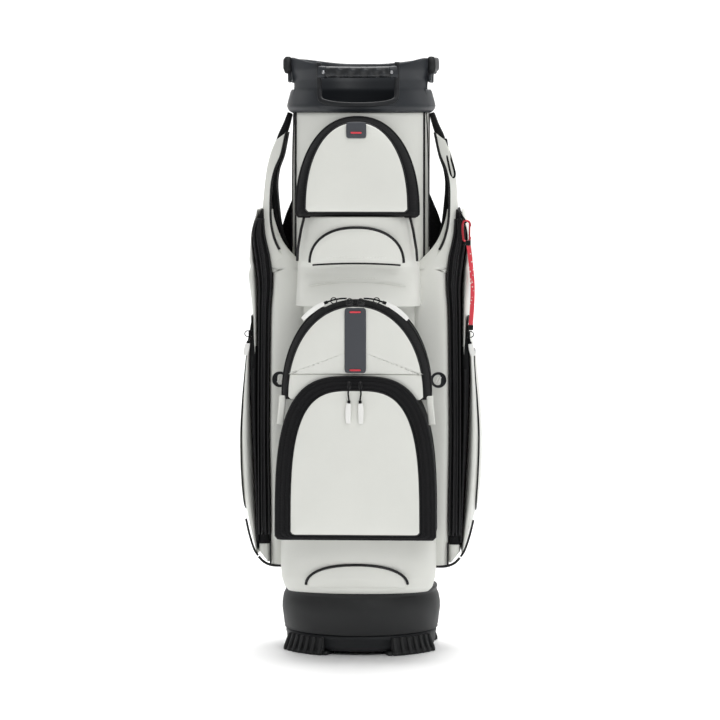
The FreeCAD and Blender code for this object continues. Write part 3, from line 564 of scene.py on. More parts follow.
def make_collar():
    """One moulded wall whose top edge drops to a sill under each handle."""
    angle = np.linspace(-180, 180, 480, endpoint=False)
    front = np.abs((angle + 90 + 180) % 360 - 180)
    side = np.minimum(np.abs(angle), 180 - np.abs(angle))
    crest = COLLAR_TOP - 1 - 8 * (1 - step(front, 33, 62)) - 7 * step(front, 120, 170)
    sill = COLLAR_FOOT + 14 + 8 * (np.clip(front, 0, 31) / 31) ** 4
    top = crest + (sill - crest) * (1 - step(front, 30.5, 33.5))
    top = top + (COLLAR_FOOT + 37 - top) * (1 - step(side, 21, 25.5))
    turn = np.radians(angle)
    rise = np.linspace(0, 1, 30)
    height = COLLAR_FOOT + (top[:, None] - COLLAR_FOOT) * rise[None, :]
    outer = collar_radius(height)
    rim = 1.4 * (np.abs(2 * rise - 1) ** 12)[None, :]
    outer, inner = outer - rim, outer - 4.5 + rim
    radius = np.concatenate([outer, inner[:, ::-1]], axis=1) * MM
    level = np.concatenate([height, height[:, ::-1]], axis=1) * MM
    rings = np.stack([radius * np.cos(turn)[:, None], radius * np.sin(turn)[:, None], level], axis=2)
    wall = shell("collar_wall", list(rings), MATERIALS["collar"], wrap_rows=True)
    place(wall, "bag", "collar_plastic", "top_collar")
    rim = [(-61, 79), (-60.5, 50), (-59.5, 24), (-50, 17), (-28, 13.5), (0, 12.5)]
    rim += [(-x, rise) for x, rise in rim[-2::-1]]
    line = smooth_line([(x, COLLAR_FOOT + rise) for x, rise in rim], 70) * MM
    radius = (collar_radius(line[:, 1] / MM) - 1.5) * MM
    path = np.stack([line[:, 0], -np.sqrt(radius**2 - line[:, 0] ** 2), line[:, 1]], 1)
    bezel = swept("window_bezel", path, 0.0075, 0.009, MATERIALS["dark"], power=0.5)
    place(bezel, "bag", "collar_plastic")


def make_handles():
    """Front grab bar with its end knuckles and screws, and the two side grips on their struts."""
    x = np.linspace(-55, 55, 60)
    level = centre_of("front_handle_grip", 2)
    path = np.stack([x, -102 - 4 * (1 - (x / 60) ** 2), level + 1.2 * (x / 60) ** 2], 1) * MM
    thick = 0.0175 - 0.0025 * step(np.abs(x), 46, 54)
    bar = swept("front_grip", path, thick, 0.0165, MATERIALS["grip"], power=0.6)
    place(bar, "bag", "grip_rubber", "front_handle_grip")
    knuckles = []
    for sign in (-1, 1):
        ends = [(sign * 49, -105, level), (sign * 54, -104, level + 0.5), (sign * 59, -102, level + 1)]
        ends = resample(np.array(ends) * MM, 12)
        knuckles.append(swept("knuckle", ends, 0.0188, 0.0178, MATERIALS["collar"], power=0.5))
    place(joined("grip_knuckles", knuckles), "bag", "collar_plastic")
    screws = []
    for sign in (-1, 1):
        line = np.array([(sign * 53, -113.0, level), (sign * 53, -114.6, level)]) * MM
        screws.append(swept("screw", line, 0.0052, 0.0052, MATERIALS["steel"], up=(1, 0, 0)))
    place(joined("grip_screws", screws), "bag", "screw_steel", "handle_screws")
    y = np.linspace(-52, 52, 60)
    lean = 112.5 + 4.5 * (1 - (y / 52) ** 2)
    level = centre_of("side_grip_right", 2)
    height = level - 1.5 + 2 * (1 - (y / 52) ** 2)
    path = np.stack([lean, y, height], 1) * MM
    deep = (21 + 6 * step(np.abs(y), 40, 52)) * MM
    grip = swept("side_grip_right_rubber", path, deep, 0.0125, MATERIALS["boot"], up=(1, 0, 0), power=0.55)
    other = mirrored(grip, "side_grip_left_rubber")
    place(grip, "bag", "grip_rubber", "side_grip_right")
    place(other, "bag", "grip_rubber", "side_grip_left")
    struts = []
    for sign in (-1, 1):
        for end in (-1, 1):
            line = [(112, end * 44, level - 2), (110.5, end * 42, level - 15), (110, end * 45, level - 27)]
            line = smooth_line(np.array(line) * (sign, 1, 1), 14) * MM
            facing = (sign, 0, 0)
            struts.append(swept("strut", line, 0.013, 0.006, MATERIALS["collar"], up=facing, power=0.6))
    place(joined("side_handle_struts", struts), "bag", "collar_plastic")


# ---- tube


def make_tube():
    """The coated skin of the tube, faintly uneven, its four pipings and a seam down each side."""
    heights = np.linspace(60, COLLAR_FOOT + 2, 90)
    turn = np.radians(np.linspace(0, 360, 140, endpoint=False))
    swell = 0.5 * np.sin(heights / 61)[:, None] * np.cos(3 * turn)[None, :]
    outer = 108.6 + swell
    level = np.broadcast_to(heights[:, None], outer.shape)
    inner = np.full_like(outer, 106.2)
    rings = []
    for radius, order in ((outer, slice(None)), (inner, slice(None, None, -1))):
        ring = np.stack([radius * np.cos(turn), radius * np.sin(turn), level], axis=2)[order] * MM
        rings += list(ring)
    skin = shell("tube_skin", rings, MATERIALS["cover"], wrap_rows=True)
    place(skin, "bag", "white_cover", "body_shell")
    pipings = []
    for degrees in (-157, -23, 157, 23):
        around = math.radians(degrees)
        z = np.linspace(560, COLLAR_FOOT + 1, 60)
        path = np.stack(
            [np.full(60, 109.8 * math.cos(around)), np.full(60, 109.8 * math.sin(around)), z], 1
        ) * MM
        pipings.append(cord_along("piping", path, 0.0036))
    place(joined("tube_piping", pipings), "bag", "black_gusset")
    wedges = []
    for sign in (-1, 1):
        line = [(104, -33, COLLAR_FOOT), (106.5, -26, 790), (107.6, -20, 730), (108, -19, 630)]
        line = np.array(line) * (sign, 1, 1)
        wedges.append(cord_along("seam", smooth_line(line, 40) * MM, 0.0022))
    place(joined("side_seams", wedges), "bag", "black_gusset")


def make_grid_walls():
    """Fabric walls between the rows of clubs: flat sheets with long shallow ripples."""
    low, high = cad("divider_panels")
    rows, reach = 5, (high[1] - low[1] - 2 * MM) / 3
    for row in range(1, rows):
        y = low[1] + MM + (row - 1) * reach
        half = math.sqrt(0.1055**2 - (abs(y) + 0.002) ** 2) - 0.009
        x, z = np.meshgrid(np.linspace(-half, half, 40), np.linspace(low[2], high[2], 50), indexing="xy")
        ripple = 0.0012 * np.sin(x * 90) * np.sin(math.pi * (z - low[2]) / (high[2] - low[2]))
        front = np.stack([x, y - 0.0008 + ripple, z], 2)
        back = np.stack([x, y + 0.0008 + ripple, z], 2)[:, ::-1]
        rings = np.concatenate([front, back], axis=1)
        sheet = shell(f"club_wall_{row}", list(rings), MATERIALS["gusset"])
        nodes = ("divider_panels",) if row == 1 else ()
        place(sheet, "bag", "black_gusset", *nodes)


# ---- pockets of the front


def gusset(name, outer, inner, root, shoulder, front, material, ribs=0):
    """Wall of an arched pocket: it leaves the tube at root, runs forward to its shoulder, then
    slants in to the flap's edge. ribs raises that many cords round the slant."""
    rings = [upright(grown(outer, -0.004), root), upright(outer, root)]
    rings += [upright(outer, y) for y in np.linspace(root, shoulder, 5)[1:]]
    for share in np.linspace(0, 1, 4 + 8 * ribs)[1:]:
        ridge = 0.0016 * abs(math.sin(share * math.pi * ribs)) if ribs else 0.0
        middle = outer + (inner - outer) * share
        rings.append(upright(middle, shoulder + (front - shoulder) * math.sin(share * math.pi / 2) - ridge))
    rings += [upright(grown(inner, -0.002), front + 0.001), upright(grown(inner, -0.002), front + 0.008)]
    back = grown(inner, 0.001)
    rings.append(upright(back, front + 0.008))
    rings.append(upright(grown(outer, -0.005), root))
    return shell(name, rings, material, wrap_rows=True)


def piped(name, outline, y, width, material="piping"):
    """A round cord sewn along a closed outline."""
    path = upright(outline, y)
    width *= bpy.context.scene.bag_sizes.piping
    return swept(name, path, width, width, MATERIALS[material], closed=True)


def stitches(name, path, material="pull"):
    """A row of short raised threads along a path."""
    pitch = bpy.context.scene.bag_sizes.pitch
    length = np.linalg.norm(np.diff(path, axis=0), axis=1).sum()
    line = resample(path, max(4, int(length / pitch) * 2))
    pieces = []
    for start in range(0, len(line) - 1, 2):
        pieces.append(swept(name, line[start : start + 2], 0.0009, 0.0008, MATERIALS[material]))
    return joined(name, pieces)


UPPER = {"half": 0.095, "height": 0.1540, "power": 2.2, "foot": cad("upper_pocket")[0][2] - 0.0005}
COOLER = {"half": 0.1145, "height": 0.1560, "power": 2.1, "foot": cad("cooler_pocket")[0][2]}
BALL = {"half": 0.1222, "height": 0.2480, "power": 3.3, "foot": cad("ball_pocket")[0][2]}


def inset(shape, sides, top, foot=0.0):
    """The sizes of an arch that stands inside another by a side band, a top band and a foot band."""
    return {
        "half": shape["half"] - sides,
        "height": shape["height"] - top - foot,
        "power": shape["power"],
        "foot": shape["foot"] + foot,
    }


def make_upper_pocket():
    """Arched pocket under the collar, with its piped flap and grey tab."""
    front = cad("upper_pocket")[0][1]
    outer, inner = arch(**UPPER), arch(**inset(UPPER, 0.0150, 0.0068, 0.006))
    wall = gusset("upper_gusset", outer, inner, -0.072, -0.118, front, MATERIALS["gusset"])
    place(wall, "bag", "black_gusset", "upper_pocket")
    place(piped("upper_seam", grown(outer, 0.0005), -0.1175, 0.003), "bag", "black_gusset")
    flap_line = arch(**inset(UPPER, 0.0165, 0.0085, 0.008))
    flap = panel("upper_cover", flap_line, front - 0.004, 0.009, 0.003, MATERIALS["cover"], sag=0.01)
    place(flap, "upper_flap", "white_cover", "upper_flap")
    place(piped("upper_piping", flap_line, front - 0.0005, 0.0035), "upper_flap", "black_gusset")
    crest = flap_line[:, 1].max()
    tab = rounded_box(0.0155, 0.0125, 0.003, 60) + (0, crest - 0.0115)
    grey = panel("upper_tab_plate", tab, front - 0.0095, 0.003, 0.0006, MATERIALS["label"], edge=0.0012)
    place(grey, "upper_flap", "label_grey", "upper_tab")
    bar = rounded_box(0.0088, 0.0014, 0.0006, 24) + (0, crest - 0.0155)
    place(
        panel("upper_tab_bar", bar, front - 0.0112, 0.001, 0.0002, MATERIALS["red_bar"], edge=0.0004),
        "upper_flap",
        "label_grey",
    )


def bib_front(z):
    """How far ahead the cloth between the upper pocket and the cooler stands, by height."""
    levels = [0.540, 0.552, 0.566, 0.580, 0.592, 0.602, 0.611, 0.640, 0.680]
    ahead = [0.152, 0.149, 0.140, 0.131, 0.1265, 0.1275, 0.1345, 0.1410, 0.1395]
    return np.interp(z, levels, ahead)


def bib_half(z):
    """Half width of the same cloth: it flares from the upper pocket down to the cooler."""
    return np.interp(
        z, [0.540, 0.570, 0.600, 0.630, 0.660, 0.681], [0.0975, 0.0960, 0.0950, 0.0930, 0.0880, 0.0830]
    )


def make_slip_pocket():
    """The bib that holds the hand-in pocket, and its half-moon lid with a curved lip."""
    rings = []
    for z in np.linspace(0.542, 0.6805, 60):
        half = float(bib_half(z))
        section = rounded_box(half, 0.036, 0.022, 90)
        ahead = float(bib_front(z))
        y = np.where(section[:, 1] < 0, section[:, 1] * (ahead - 0.092) / 0.036, section[:, 1])
        bow = 0.010 * (section[:, 0] / half) ** 2
        rings.append(np.stack([section[:, 0], y - 0.092 + bow, np.full(90, z)], axis=1))
    bib = shell("slip_bib", rings, MATERIALS["cover"])
    place(bib, "bag", "white_cover", "slip_pocket")
    lip = cad("slip_flap")[0][2] + 0.001
    width = 0.0720
    line = arch(width, 0.0575, 2.25, lip, 200, corner=0.002)
    line[:, 1] += 0.0035 * (1 - (line[:, 0] / width) ** 2) * (line[:, 1] < lip + 0.002)
    lid = panel("slip_lid", line, -0.1440, 0.007, 0.0035, MATERIALS["cover"], edge=0.0022, bow=0.004)
    place(lid, "slip_flap", "white_cover", "slip_flap")
    over = line[line[:, 1] > lip + 0.0035]
    over = over[np.argsort(-np.arctan2(over[:, 1] - lip, over[:, 0]))]
    over = resample(upright(over, -0.1418 + 0.004 * (over[:, 0] / width) ** 2), 120)
    cord = swept("slip_piping", over, 0.0058, 0.0046, MATERIALS["piping"])
    x = np.linspace(-width + 0.004, width - 0.004, 50)
    under = np.stack([x, -0.1428 + 0.004 * (x / width) ** 2, lip + 0.0030 * (1 - (x / width) ** 2)], 1)
    edge = swept("slip_edge", under, 0.0030, 0.0036, MATERIALS["piping"])
    place(joined("slip_pipings", [cord, edge]), "slip_flap", "black_gusset")
    for height, span, body, name in (
        (lip + 0.0125, 0.046, "slip_flap", "lid"), (0.5855, 0.030, "bag", "recess")
    ):
        x = np.linspace(-span, span, 40)
        depth = 0.1470 if body == "slip_flap" else float(bib_front(height)) + 0.0005
        row = np.stack(
            [x, -depth + 0.004 * (x / width) ** 2, np.full(40, height) - 0.002 * (x / width) ** 2], 1
        )
        place(stitches(f"slip_stitch_{name}", row), body, "white_cover")
    x = np.linspace(-0.092, 0.092, 70)
    level = 0.5795 - 0.0085 * (x / 0.092) ** 2
    half = bib_half(level)
    row = np.stack([x, -bib_front(level) + 0.0100 * (x / half) ** 2 - 0.0002, level], 1)[6:-6]
    # The seam cord is drawn in the cover's darker copy: painted shade in the recess under the lid.
    place(swept("bib_seam", row, 0.0016, 0.0016, MATERIALS["cover_shade"]), "bag", "white_cover")
    corners = []
    for sign in (-1, 1):
        z = np.linspace(0.612, 0.6795, 24)
        half = bib_half(z) - 0.0012
        path = np.stack([sign * half, -bib_front(z) + 0.0135, z], 1)
        corners.append(cord_along("bib_piping", path, 0.0042))
    place(joined("bib_pipings", corners), "bag", "black_gusset")


def make_cooler_pocket():
    """Insulated pocket: gusset, white flap with its grey label, and cloth below the hinge."""
    front = cad("cooler_pocket")[0][1]
    hinge = cad("cooler_flap")[0][2]
    outer, inner = arch(**COOLER), arch(**inset(COOLER, 0.0100, 0.0125))
    wall = gusset("cooler_gusset", outer, inner, -0.070, -0.138, front, MATERIALS["gusset"])
    place(wall, "bag", "black_gusset", "cooler_pocket")
    place(piped("cooler_seam", grown(outer, 0.0005), -0.1375, 0.003), "bag", "black_gusset")
    whole = arch(**inset(COOLER, 0.0110, 0.0135), count=300)
    for name, body, keep in (("cooler_cover", "cooler_flap", 1), ("cooler_apron", "bag", -1)):
        line = whole.copy()
        line[:, 1] = np.maximum(line[:, 1], hinge) if keep > 0 else np.minimum(line[:, 1], hinge - 0.0003)
        line = resample(
            line[np.concatenate([[True], np.abs(np.diff(line, axis=0)).sum(1) > 1e-6])], 160, True
        )
        crown, ahead = (0.003, 0.004) if keep > 0 else (0.0, 0.0015)
        piece = panel(name, line, front - ahead, 0.009, crown, MATERIALS["cover"], edge=0.0022)
        if keep > 0:
            place(piece, body, "white_cover", "cooler_flap")
        else:
            place(piece, body, "white_cover")
    upper = whole[whole[:, 1] > hinge + 0.001]
    upper = upper[np.argsort(-np.arctan2(upper[:, 1] - hinge, upper[:, 0]))]
    edge = np.stack([upper[:, 0], np.full(len(upper), front - 0.0005), upper[:, 1]], 1)
    place(cord_along("cooler_piping", resample(edge, 140), 0.0036), "cooler_flap", "black_gusset")
    crest = whole[:, 1].max()
    tall = (crest - hinge) / 2 - 0.0015
    strap = rounded_box(0.0165, tall, 0.002, 80) + (0, (crest + hinge) / 2 + 0.0005)
    grey = panel("label_strap_plate", strap, front - 0.0096, 0.0036, 0.0004, MATERIALS["label"], edge=0.001)
    place(grey, "cooler_flap", "label_grey", "label_strap")
    bars = []
    for height in (crest - 0.0075, hinge + 0.0065):
        bar = rounded_box(0.0088, 0.0014, 0.0006, 24) + (0, height)
        bars.append(
            panel("label_bar", bar, front - 0.0112, 0.001, 0.0002, MATERIALS["red_bar"], edge=0.0004)
        )
    place(joined("label_bars", bars), "cooler_flap", "label_grey")
    garages = []
    for sign in (-1, 1):
        line = np.array([(sign * 0.1135, -0.1555, z) for z in (0.362, 0.377, 0.392, 0.406)])
        line[:, 0] += sign * np.array([0.0035, 0.002, 0.0005, 0.0])
        garages.append(swept("garage", resample(line, 20), 0.0105, 0.006, MATERIALS["cover"], power=0.5))
    place(joined("zip_garages", garages), "bag", "white_cover")


def make_ball_pocket():
    """Large pocket with a gusset of three ribs, its flap, and the mesh at the foot of each side."""
    front = cad("ball_pocket")[0][1]
    outer, inner = arch(**BALL), arch(**inset(BALL, 0.0225, 0.0185, 0.0055))
    wall = gusset("ball_gusset", outer, inner, -0.066, -0.1745, front, MATERIALS["gusset"], ribs=3)
    place(wall, "bag", "black_gusset", "ball_pocket")
    place(piped("ball_seam", grown(outer, 0.0005), -0.1740, 0.0034), "bag", "black_gusset")
    flap_line = arch(**inset(BALL, 0.0235, 0.0200, 0.0075))
    flap = panel("ball_cover", flap_line, front - 0.004, 0.009, 0.0035, MATERIALS["cover"], sag=0.02)
    place(flap, "ball_flap", "white_cover", "ball_flap")
    place(piped("ball_piping", flap_line, front - 0.0005, 0.0036), "ball_flap", "black_gusset")
    meshes = []
    for sign in (-1, 1):
        z = np.linspace(0.198, 0.300, 20)
        path = np.stack([np.full(20, sign * 0.1110), np.full(20, -0.1780), z], 1)
        wide = 0.013 * np.clip((0.305 - z) / 0.06, 0.15, 1.0)
        meshes.append(
            swept("mesh", path, wide, 0.004, MATERIALS["mesh"], up=(sign * 0.7, -1, 0), power=0.6)
        )
    place(joined("ball_mesh", meshes), "bag", "black_gusset")


def apron_bow(x):
    """How far the apron over the boot falls back towards its sides."""
    return 0.016 * (x / 0.122) ** 2


def make_lower_panel():
    """Padded apron over the boot, with a piped half-moon patch."""
    foot, top = cad("lower_panel")[0][2], cad("lower_panel")[1][2]

    def half_at(z):
        return np.interp(
            z - foot,
            [0, 0.006, 0.022, 0.044, 0.070, 0.090],
            [0.1090, 0.1150, 0.1200, 0.1215, 0.1212, 0.1205],
        )

    def ahead_at(z):
        return np.interp(
            z - foot, [0, 0.006, 0.025, 0.055, 0.090], [0.1275, 0.1340, 0.1395, 0.1435, 0.1460]
        )

    rings = []
    for z in np.linspace(foot, top, 32):
        section = rounded_box(float(half_at(z)), 0.042, 0.034, 110)
        ahead = float(ahead_at(z))
        y = np.where(section[:, 1] < 0, section[:, 1] * (ahead - 0.100) / 0.042, section[:, 1])
        bow = 0.016 * (section[:, 0] / float(half_at(z))) ** 2
        rings.append(np.stack([section[:, 0], y - 0.100 + bow, np.full(110, z)], 1))
    place(shell("lower_apron", rings, MATERIALS["cover"]), "bag", "white_cover", "lower_panel")
    line = arch(0.0790, 0.0365, 2.2, foot + 0.010, 120, corner=0.003)
    depth = -ahead_at(line[:, 1]) + apron_bow(line[:, 0])
    middle = line.mean(0)
    rings = []
    for reach in np.linspace(1, 0.002, 16):
        flat = middle + (line - middle) * reach
        y = -ahead_at(flat[:, 1]) + apron_bow(flat[:, 0])
        rings.append(upright(flat, y - 0.0004 - 0.0022 * (1 - reach**2.4)))
    back = [upright(line, depth + 0.002)]
    place(shell("half_moon_patch", back + rings, MATERIALS["cover"]), "bag", "white_cover")
    arc = line[line[:, 1] > foot + 0.013]
    arc = arc[np.argsort(-np.arctan2(arc[:, 1] - foot - 0.010, arc[:, 0]))]
    path = np.stack([arc[:, 0], -ahead_at(arc[:, 1]) + apron_bow(arc[:, 0]) - 0.001, arc[:, 1]], 1)
    place(cord_along("half_moon_piping", resample(path, 90), 0.0042), "bag", "black_gusset")
    x = np.linspace(-0.118, 0.118, 70)
    row = np.stack([x, -0.1460 + apron_bow(x), top - 0.005 - 0.002 * (x / 0.118) ** 2], 1)
    place(stitches("apron_stitch", row), "bag", "white_cover")


# ---- zips


def slider_shape(name, centre, front, lean=0.0):
    """A die-cast slider: a low waisted body with a bridge over it. lean turns it in its plane."""
    turn = np.array([[math.cos(lean), -math.sin(lean)], [math.sin(lean), math.cos(lean)]])
    angle = np.linspace(0, 2 * math.pi, 40, endpoint=False)
    outline = np.stack(
        [0.0042 * np.cos(angle) * (1 - 0.25 * np.cos(angle) ** 2), 0.0062 * np.sin(angle)], 1
    )
    outline = outline @ turn.T + centre
    metal = MATERIALS["metal"]
    body = panel(name, outline, front + 0.0012, 0.0018, 0.0008, metal, edge=0.0008, rows=5)
    along = np.linspace(-0.0048, 0.0048, 14)
    rise = 0.0026 * np.sqrt(np.clip(1 - (along / 0.0052) ** 2, 0, 1))
    flat = np.stack([np.zeros(14), along], 1) @ turn.T + centre
    bridge = np.stack([flat[:, 0], front + 0.0008 - rise, flat[:, 1]], 1)
    return joined(name, [body, swept(f"{name}_bridge", bridge, 0.0024, 0.0012, MATERIALS["metal"])])


def pull_shape(name, path, tab_from, wide=0.0085):
    """A cord loop through the slider's bridge, knotted into a flat rubber tab."""
    path = smooth_line(np.asarray(path, dtype=float), 40)
    cut = int(40 * tab_from)
    loop = swept(f"{name}_cord", path[: cut + 2], 0.0026, 0.0022, MATERIALS["cord"])
    swell = wide * (0.75 + 0.25 * np.sin(np.linspace(0.25, math.pi - 0.25, 40 - cut)))
    tab = swept(name, path[cut:], swell, 0.0030, MATERIALS["pull"], power=0.5)
    knot = swept(f"{name}_knot", path[cut - 3 : cut + 1], 0.0048, 0.0036, MATERIALS["cord"])
    return joined(name, [tab, loop, knot])


def ring_shape(name, centre, radius, y, wire=0.0016):
    """A small round wire ring lying in the front plane."""
    angle = np.linspace(0, 2 * math.pi, 28, endpoint=False)
    path = np.stack(
        [centre[0] + radius * np.cos(angle), np.full(28, y), centre[1] + radius * np.sin(angle)], 1
    )
    return swept(name, path, wire, wire, MATERIALS["metal"], closed=True)


def make_front_zips():
    """The sliders and pulls of the ball pocket, which hang, and of the cooler, which lie along it."""
    for side, sign in (("right", 1), ("left", -1)):
        low, high = cad(f"ball_slider_{side}")
        centre = (low + high)[[0, 2]] / 2
        shape = slider_shape(f"ball_zip_{side}", centre, low[1])
        place(shape, f"ball_slider_{side}", "zip_metal", f"ball_slider_{side}")
        low, high = cad(f"ball_pull_{side}")
        x, y = (low[0] + high[0]) / 2, high[1] - 0.0016
        drift = 0.0012 * sign
        route = [(x, y, high[2] - 0.001), (x + drift, y, high[2] - 0.012), (x, y, high[2] - 0.024)]
        route += [(x + drift, y, high[2] - 0.036), (x + drift, y, low[2])]
        pull = pull_shape(f"ball_tab_{side}", route, 0.46)
        place(pull, f"ball_pull_{side}", "pull_tab", f"ball_pull_{side}")
        low, high = cad(f"cooler_slider_{side}")
        centre = (low + high)[[0, 2]] / 2
        shape = slider_shape(f"cooler_zip_{side}", centre, low[1], math.pi / 2 - sign * 0.1)
        ring = ring_shape("slider_ring", centre + (0, 0.0035), 0.0042, low[1] - 0.001)
        place(
            joined(f"cooler_zip_{side}", [shape, ring]),
            f"cooler_slider_{side}",
            "zip_metal",
            f"cooler_slider_{side}",
        )
        low, high = cad(f"cooler_pull_{side}")
        y = high[1] - 0.0016
        shares = np.array([(0.0, 1.0), (0.15, 0.99), (0.35, 0.92), (0.58, 0.76), (0.80, 0.53), (1.0, 0.24)])
        near, far = (low[0], high[0]) if sign > 0 else (high[0], low[0])
        xs = near + (far - near) * shares[:, 0]
        zs = low[2] + (high[2] - low[2] + 0.004) * shares[:, 1]
        pull = pull_shape(f"cooler_tab_{side}", np.stack([xs, np.full(6, y), zs], 1), 0.46, wide=0.0075)
        ring = ring_shape("pull_ring", (xs[2] - sign * 0.004, zs[2]), 0.0046, y - 0.0008)
        place(
            joined(f"cooler_tab_{side}", [pull, ring]),
            f"cooler_pull_{side}",
            "pull_tab",
            f"cooler_pull_{side}",
        )


# ---- sides


def column(name, heights, left, right, front, back, roundness, material, count=72):
    """Upright piece whose level sections are rounded rectangles: left, right, front and back are
    arrays over the heights, front and back measured ahead of the tube's axis."""
    rings = []
    for z, x0, x1, y0, y1 in np.stack(np.broadcast_arrays(heights, left, right, front, back), 1):
        section = rounded_box((x1 - x0) / 2, abs(y0 - y1) / 2, roundness, count)
        rings.append(
            np.stack([section[:, 0] + (x0 + x1) / 2, section[:, 1] - (y0 + y1) / 2, np.full(count, z)], 1)
        )
    return shell(name, rings, material)


# Levels in millimetres, and how far each seam of the right pocket stands from the bag's middle.
IN_SEAM = {
    158: 139, 235: 139.5, 329: 141, 415: 140.5, 486: 140, 533: 139, 572: 136.5, 611: 138, 653: 147, 688: 150
}
MID_SEAM = {
    158: 158,
    235: 158.5,
    329: 159,
    415: 159,
    467: 158.5,
    533: 158,
    572: 158,
    611: 162.5,
    653: 166.5,
    688: 155,
}
OUT_SEAM = {158: 158.5, 173: 159, 235: 162.5, 329: 168, 415: 171, 467: 171.5, 500: 171, 523: 169.5}
LOW_COVER = {
    150: 161,
    158: 165.5,
    190: 174.5,
    234: 184,
    281: 188,
    338: 188.5,
    386: 186,
    415: 183.5,
    467: 178,
    512: 171,
}
TOP_COVER = {
    455: 167, 500: 170, 523: 171.5, 550: 173.5, 584: 177, 600: 174, 613: 176.5, 653: 171.5, 688: 162
}
WALL_ROOT = {131: 80, 560: 80, 600: 88, 611: 96, 629: 113, 648: 125, 675: 134.5, 690: 137}


def along(seam, heights):
    """How far a seam stands from the bag's middle at the given heights, all in metres."""
    levels = np.array(list(seam))
    line = smooth_line(np.stack([levels, np.array(list(seam.values()))], 1), 400)
    return np.interp(heights / MM, line[:, 0], line[:, 1]) * MM


def side_body(seam_pieces):
    """The white wall by the tube, the ribbed black gusset and the wedge below it."""
    z = np.linspace(0.1315, 0.6900, 120)
    front = 0.0665 - 0.020 * step(z, 0.56, 0.69)
    # The wall is drawn in the cover's darker copy: painted shade on the side of the bag.
    back = np.where(z < 0.592, -0.0760, front - 0.012)
    wall = column(
        "wall",
        z,
        along(WALL_ROOT, z),
        along(IN_SEAM, z) + 0.001,
        front,
        back,
        0.008,
        MATERIALS["cover_shade"],
    )
    seam_pieces.append((wall, "side_wall", "bag", "white_cover", ()))
    z = np.linspace(0.166, 0.690, 110)
    inner, outer = along(IN_SEAM, z), along(MID_SEAM, z)
    band = column("band", z, inner, outer + 0.001, 0.0625, -0.0770, 0.003, MATERIALS["gusset"])
    seam_pieces.append((band, "side_gusset", "bag", "black_gusset", ("side_pocket",)))
    ribs = []
    for share in (0.10, 0.40, 0.68, 0.93):
        path = np.stack([inner + (outer - inner) * share, np.full(110, -0.0635), z], 1)[3:-3]
        ribs.append(swept("rib", path, 0.0034, 0.0036, MATERIALS["piping"]))
    seam_pieces.append((joined("ribs", ribs), "side_ribs", "bag", "black_gusset", ()))
    middle = (inner + outer) / 2 + 0.0006
    teeth = np.stack([middle, np.full(110, -0.0632), z], 1)[4:-4]
    zipper = swept("zip", teeth, 0.0042, 0.0026, MATERIALS["tape"], power=0.6)
    seam_pieces.append((zipper, "side_zip", "bag", "black_gusset", ()))
    z = np.linspace(0.1385, 0.1665, 12)
    inner = along(IN_SEAM, z)
    outer = np.minimum(along(MID_SEAM, z), 0.146 + (z - 0.1385) * 0.75)
    # The wedge uses the same darker copy of the cover: painted shade.
    wedge = column("wedge", z, inner, outer, 0.0640, -0.0740, 0.003, MATERIALS["cover_shade"])
    seam_pieces.append((wedge, "side_wedge", "bag", "white_cover", ()))
    foot = [(0.100, 0.1332), (0.124, 0.1325), (0.138, 0.1335), (0.1495, 0.1385), (0.1575, 0.1465)]
    foot = smooth_line([(x, -0.0655, z) for x, z in foot], 40)
    post = np.array([(0.1385, -0.0660, 0.1345), (0.1388, -0.0660, 0.150), (0.1390, -0.0650, 0.170)])
    pipes = [cord_along("foot_piping", foot, 0.0042), cord_along("post_piping", resample(post, 12), 0.0030)]
    seam_pieces.append((joined("pipes", pipes), "side_foot_piping", "bag", "black_gusset", ()))


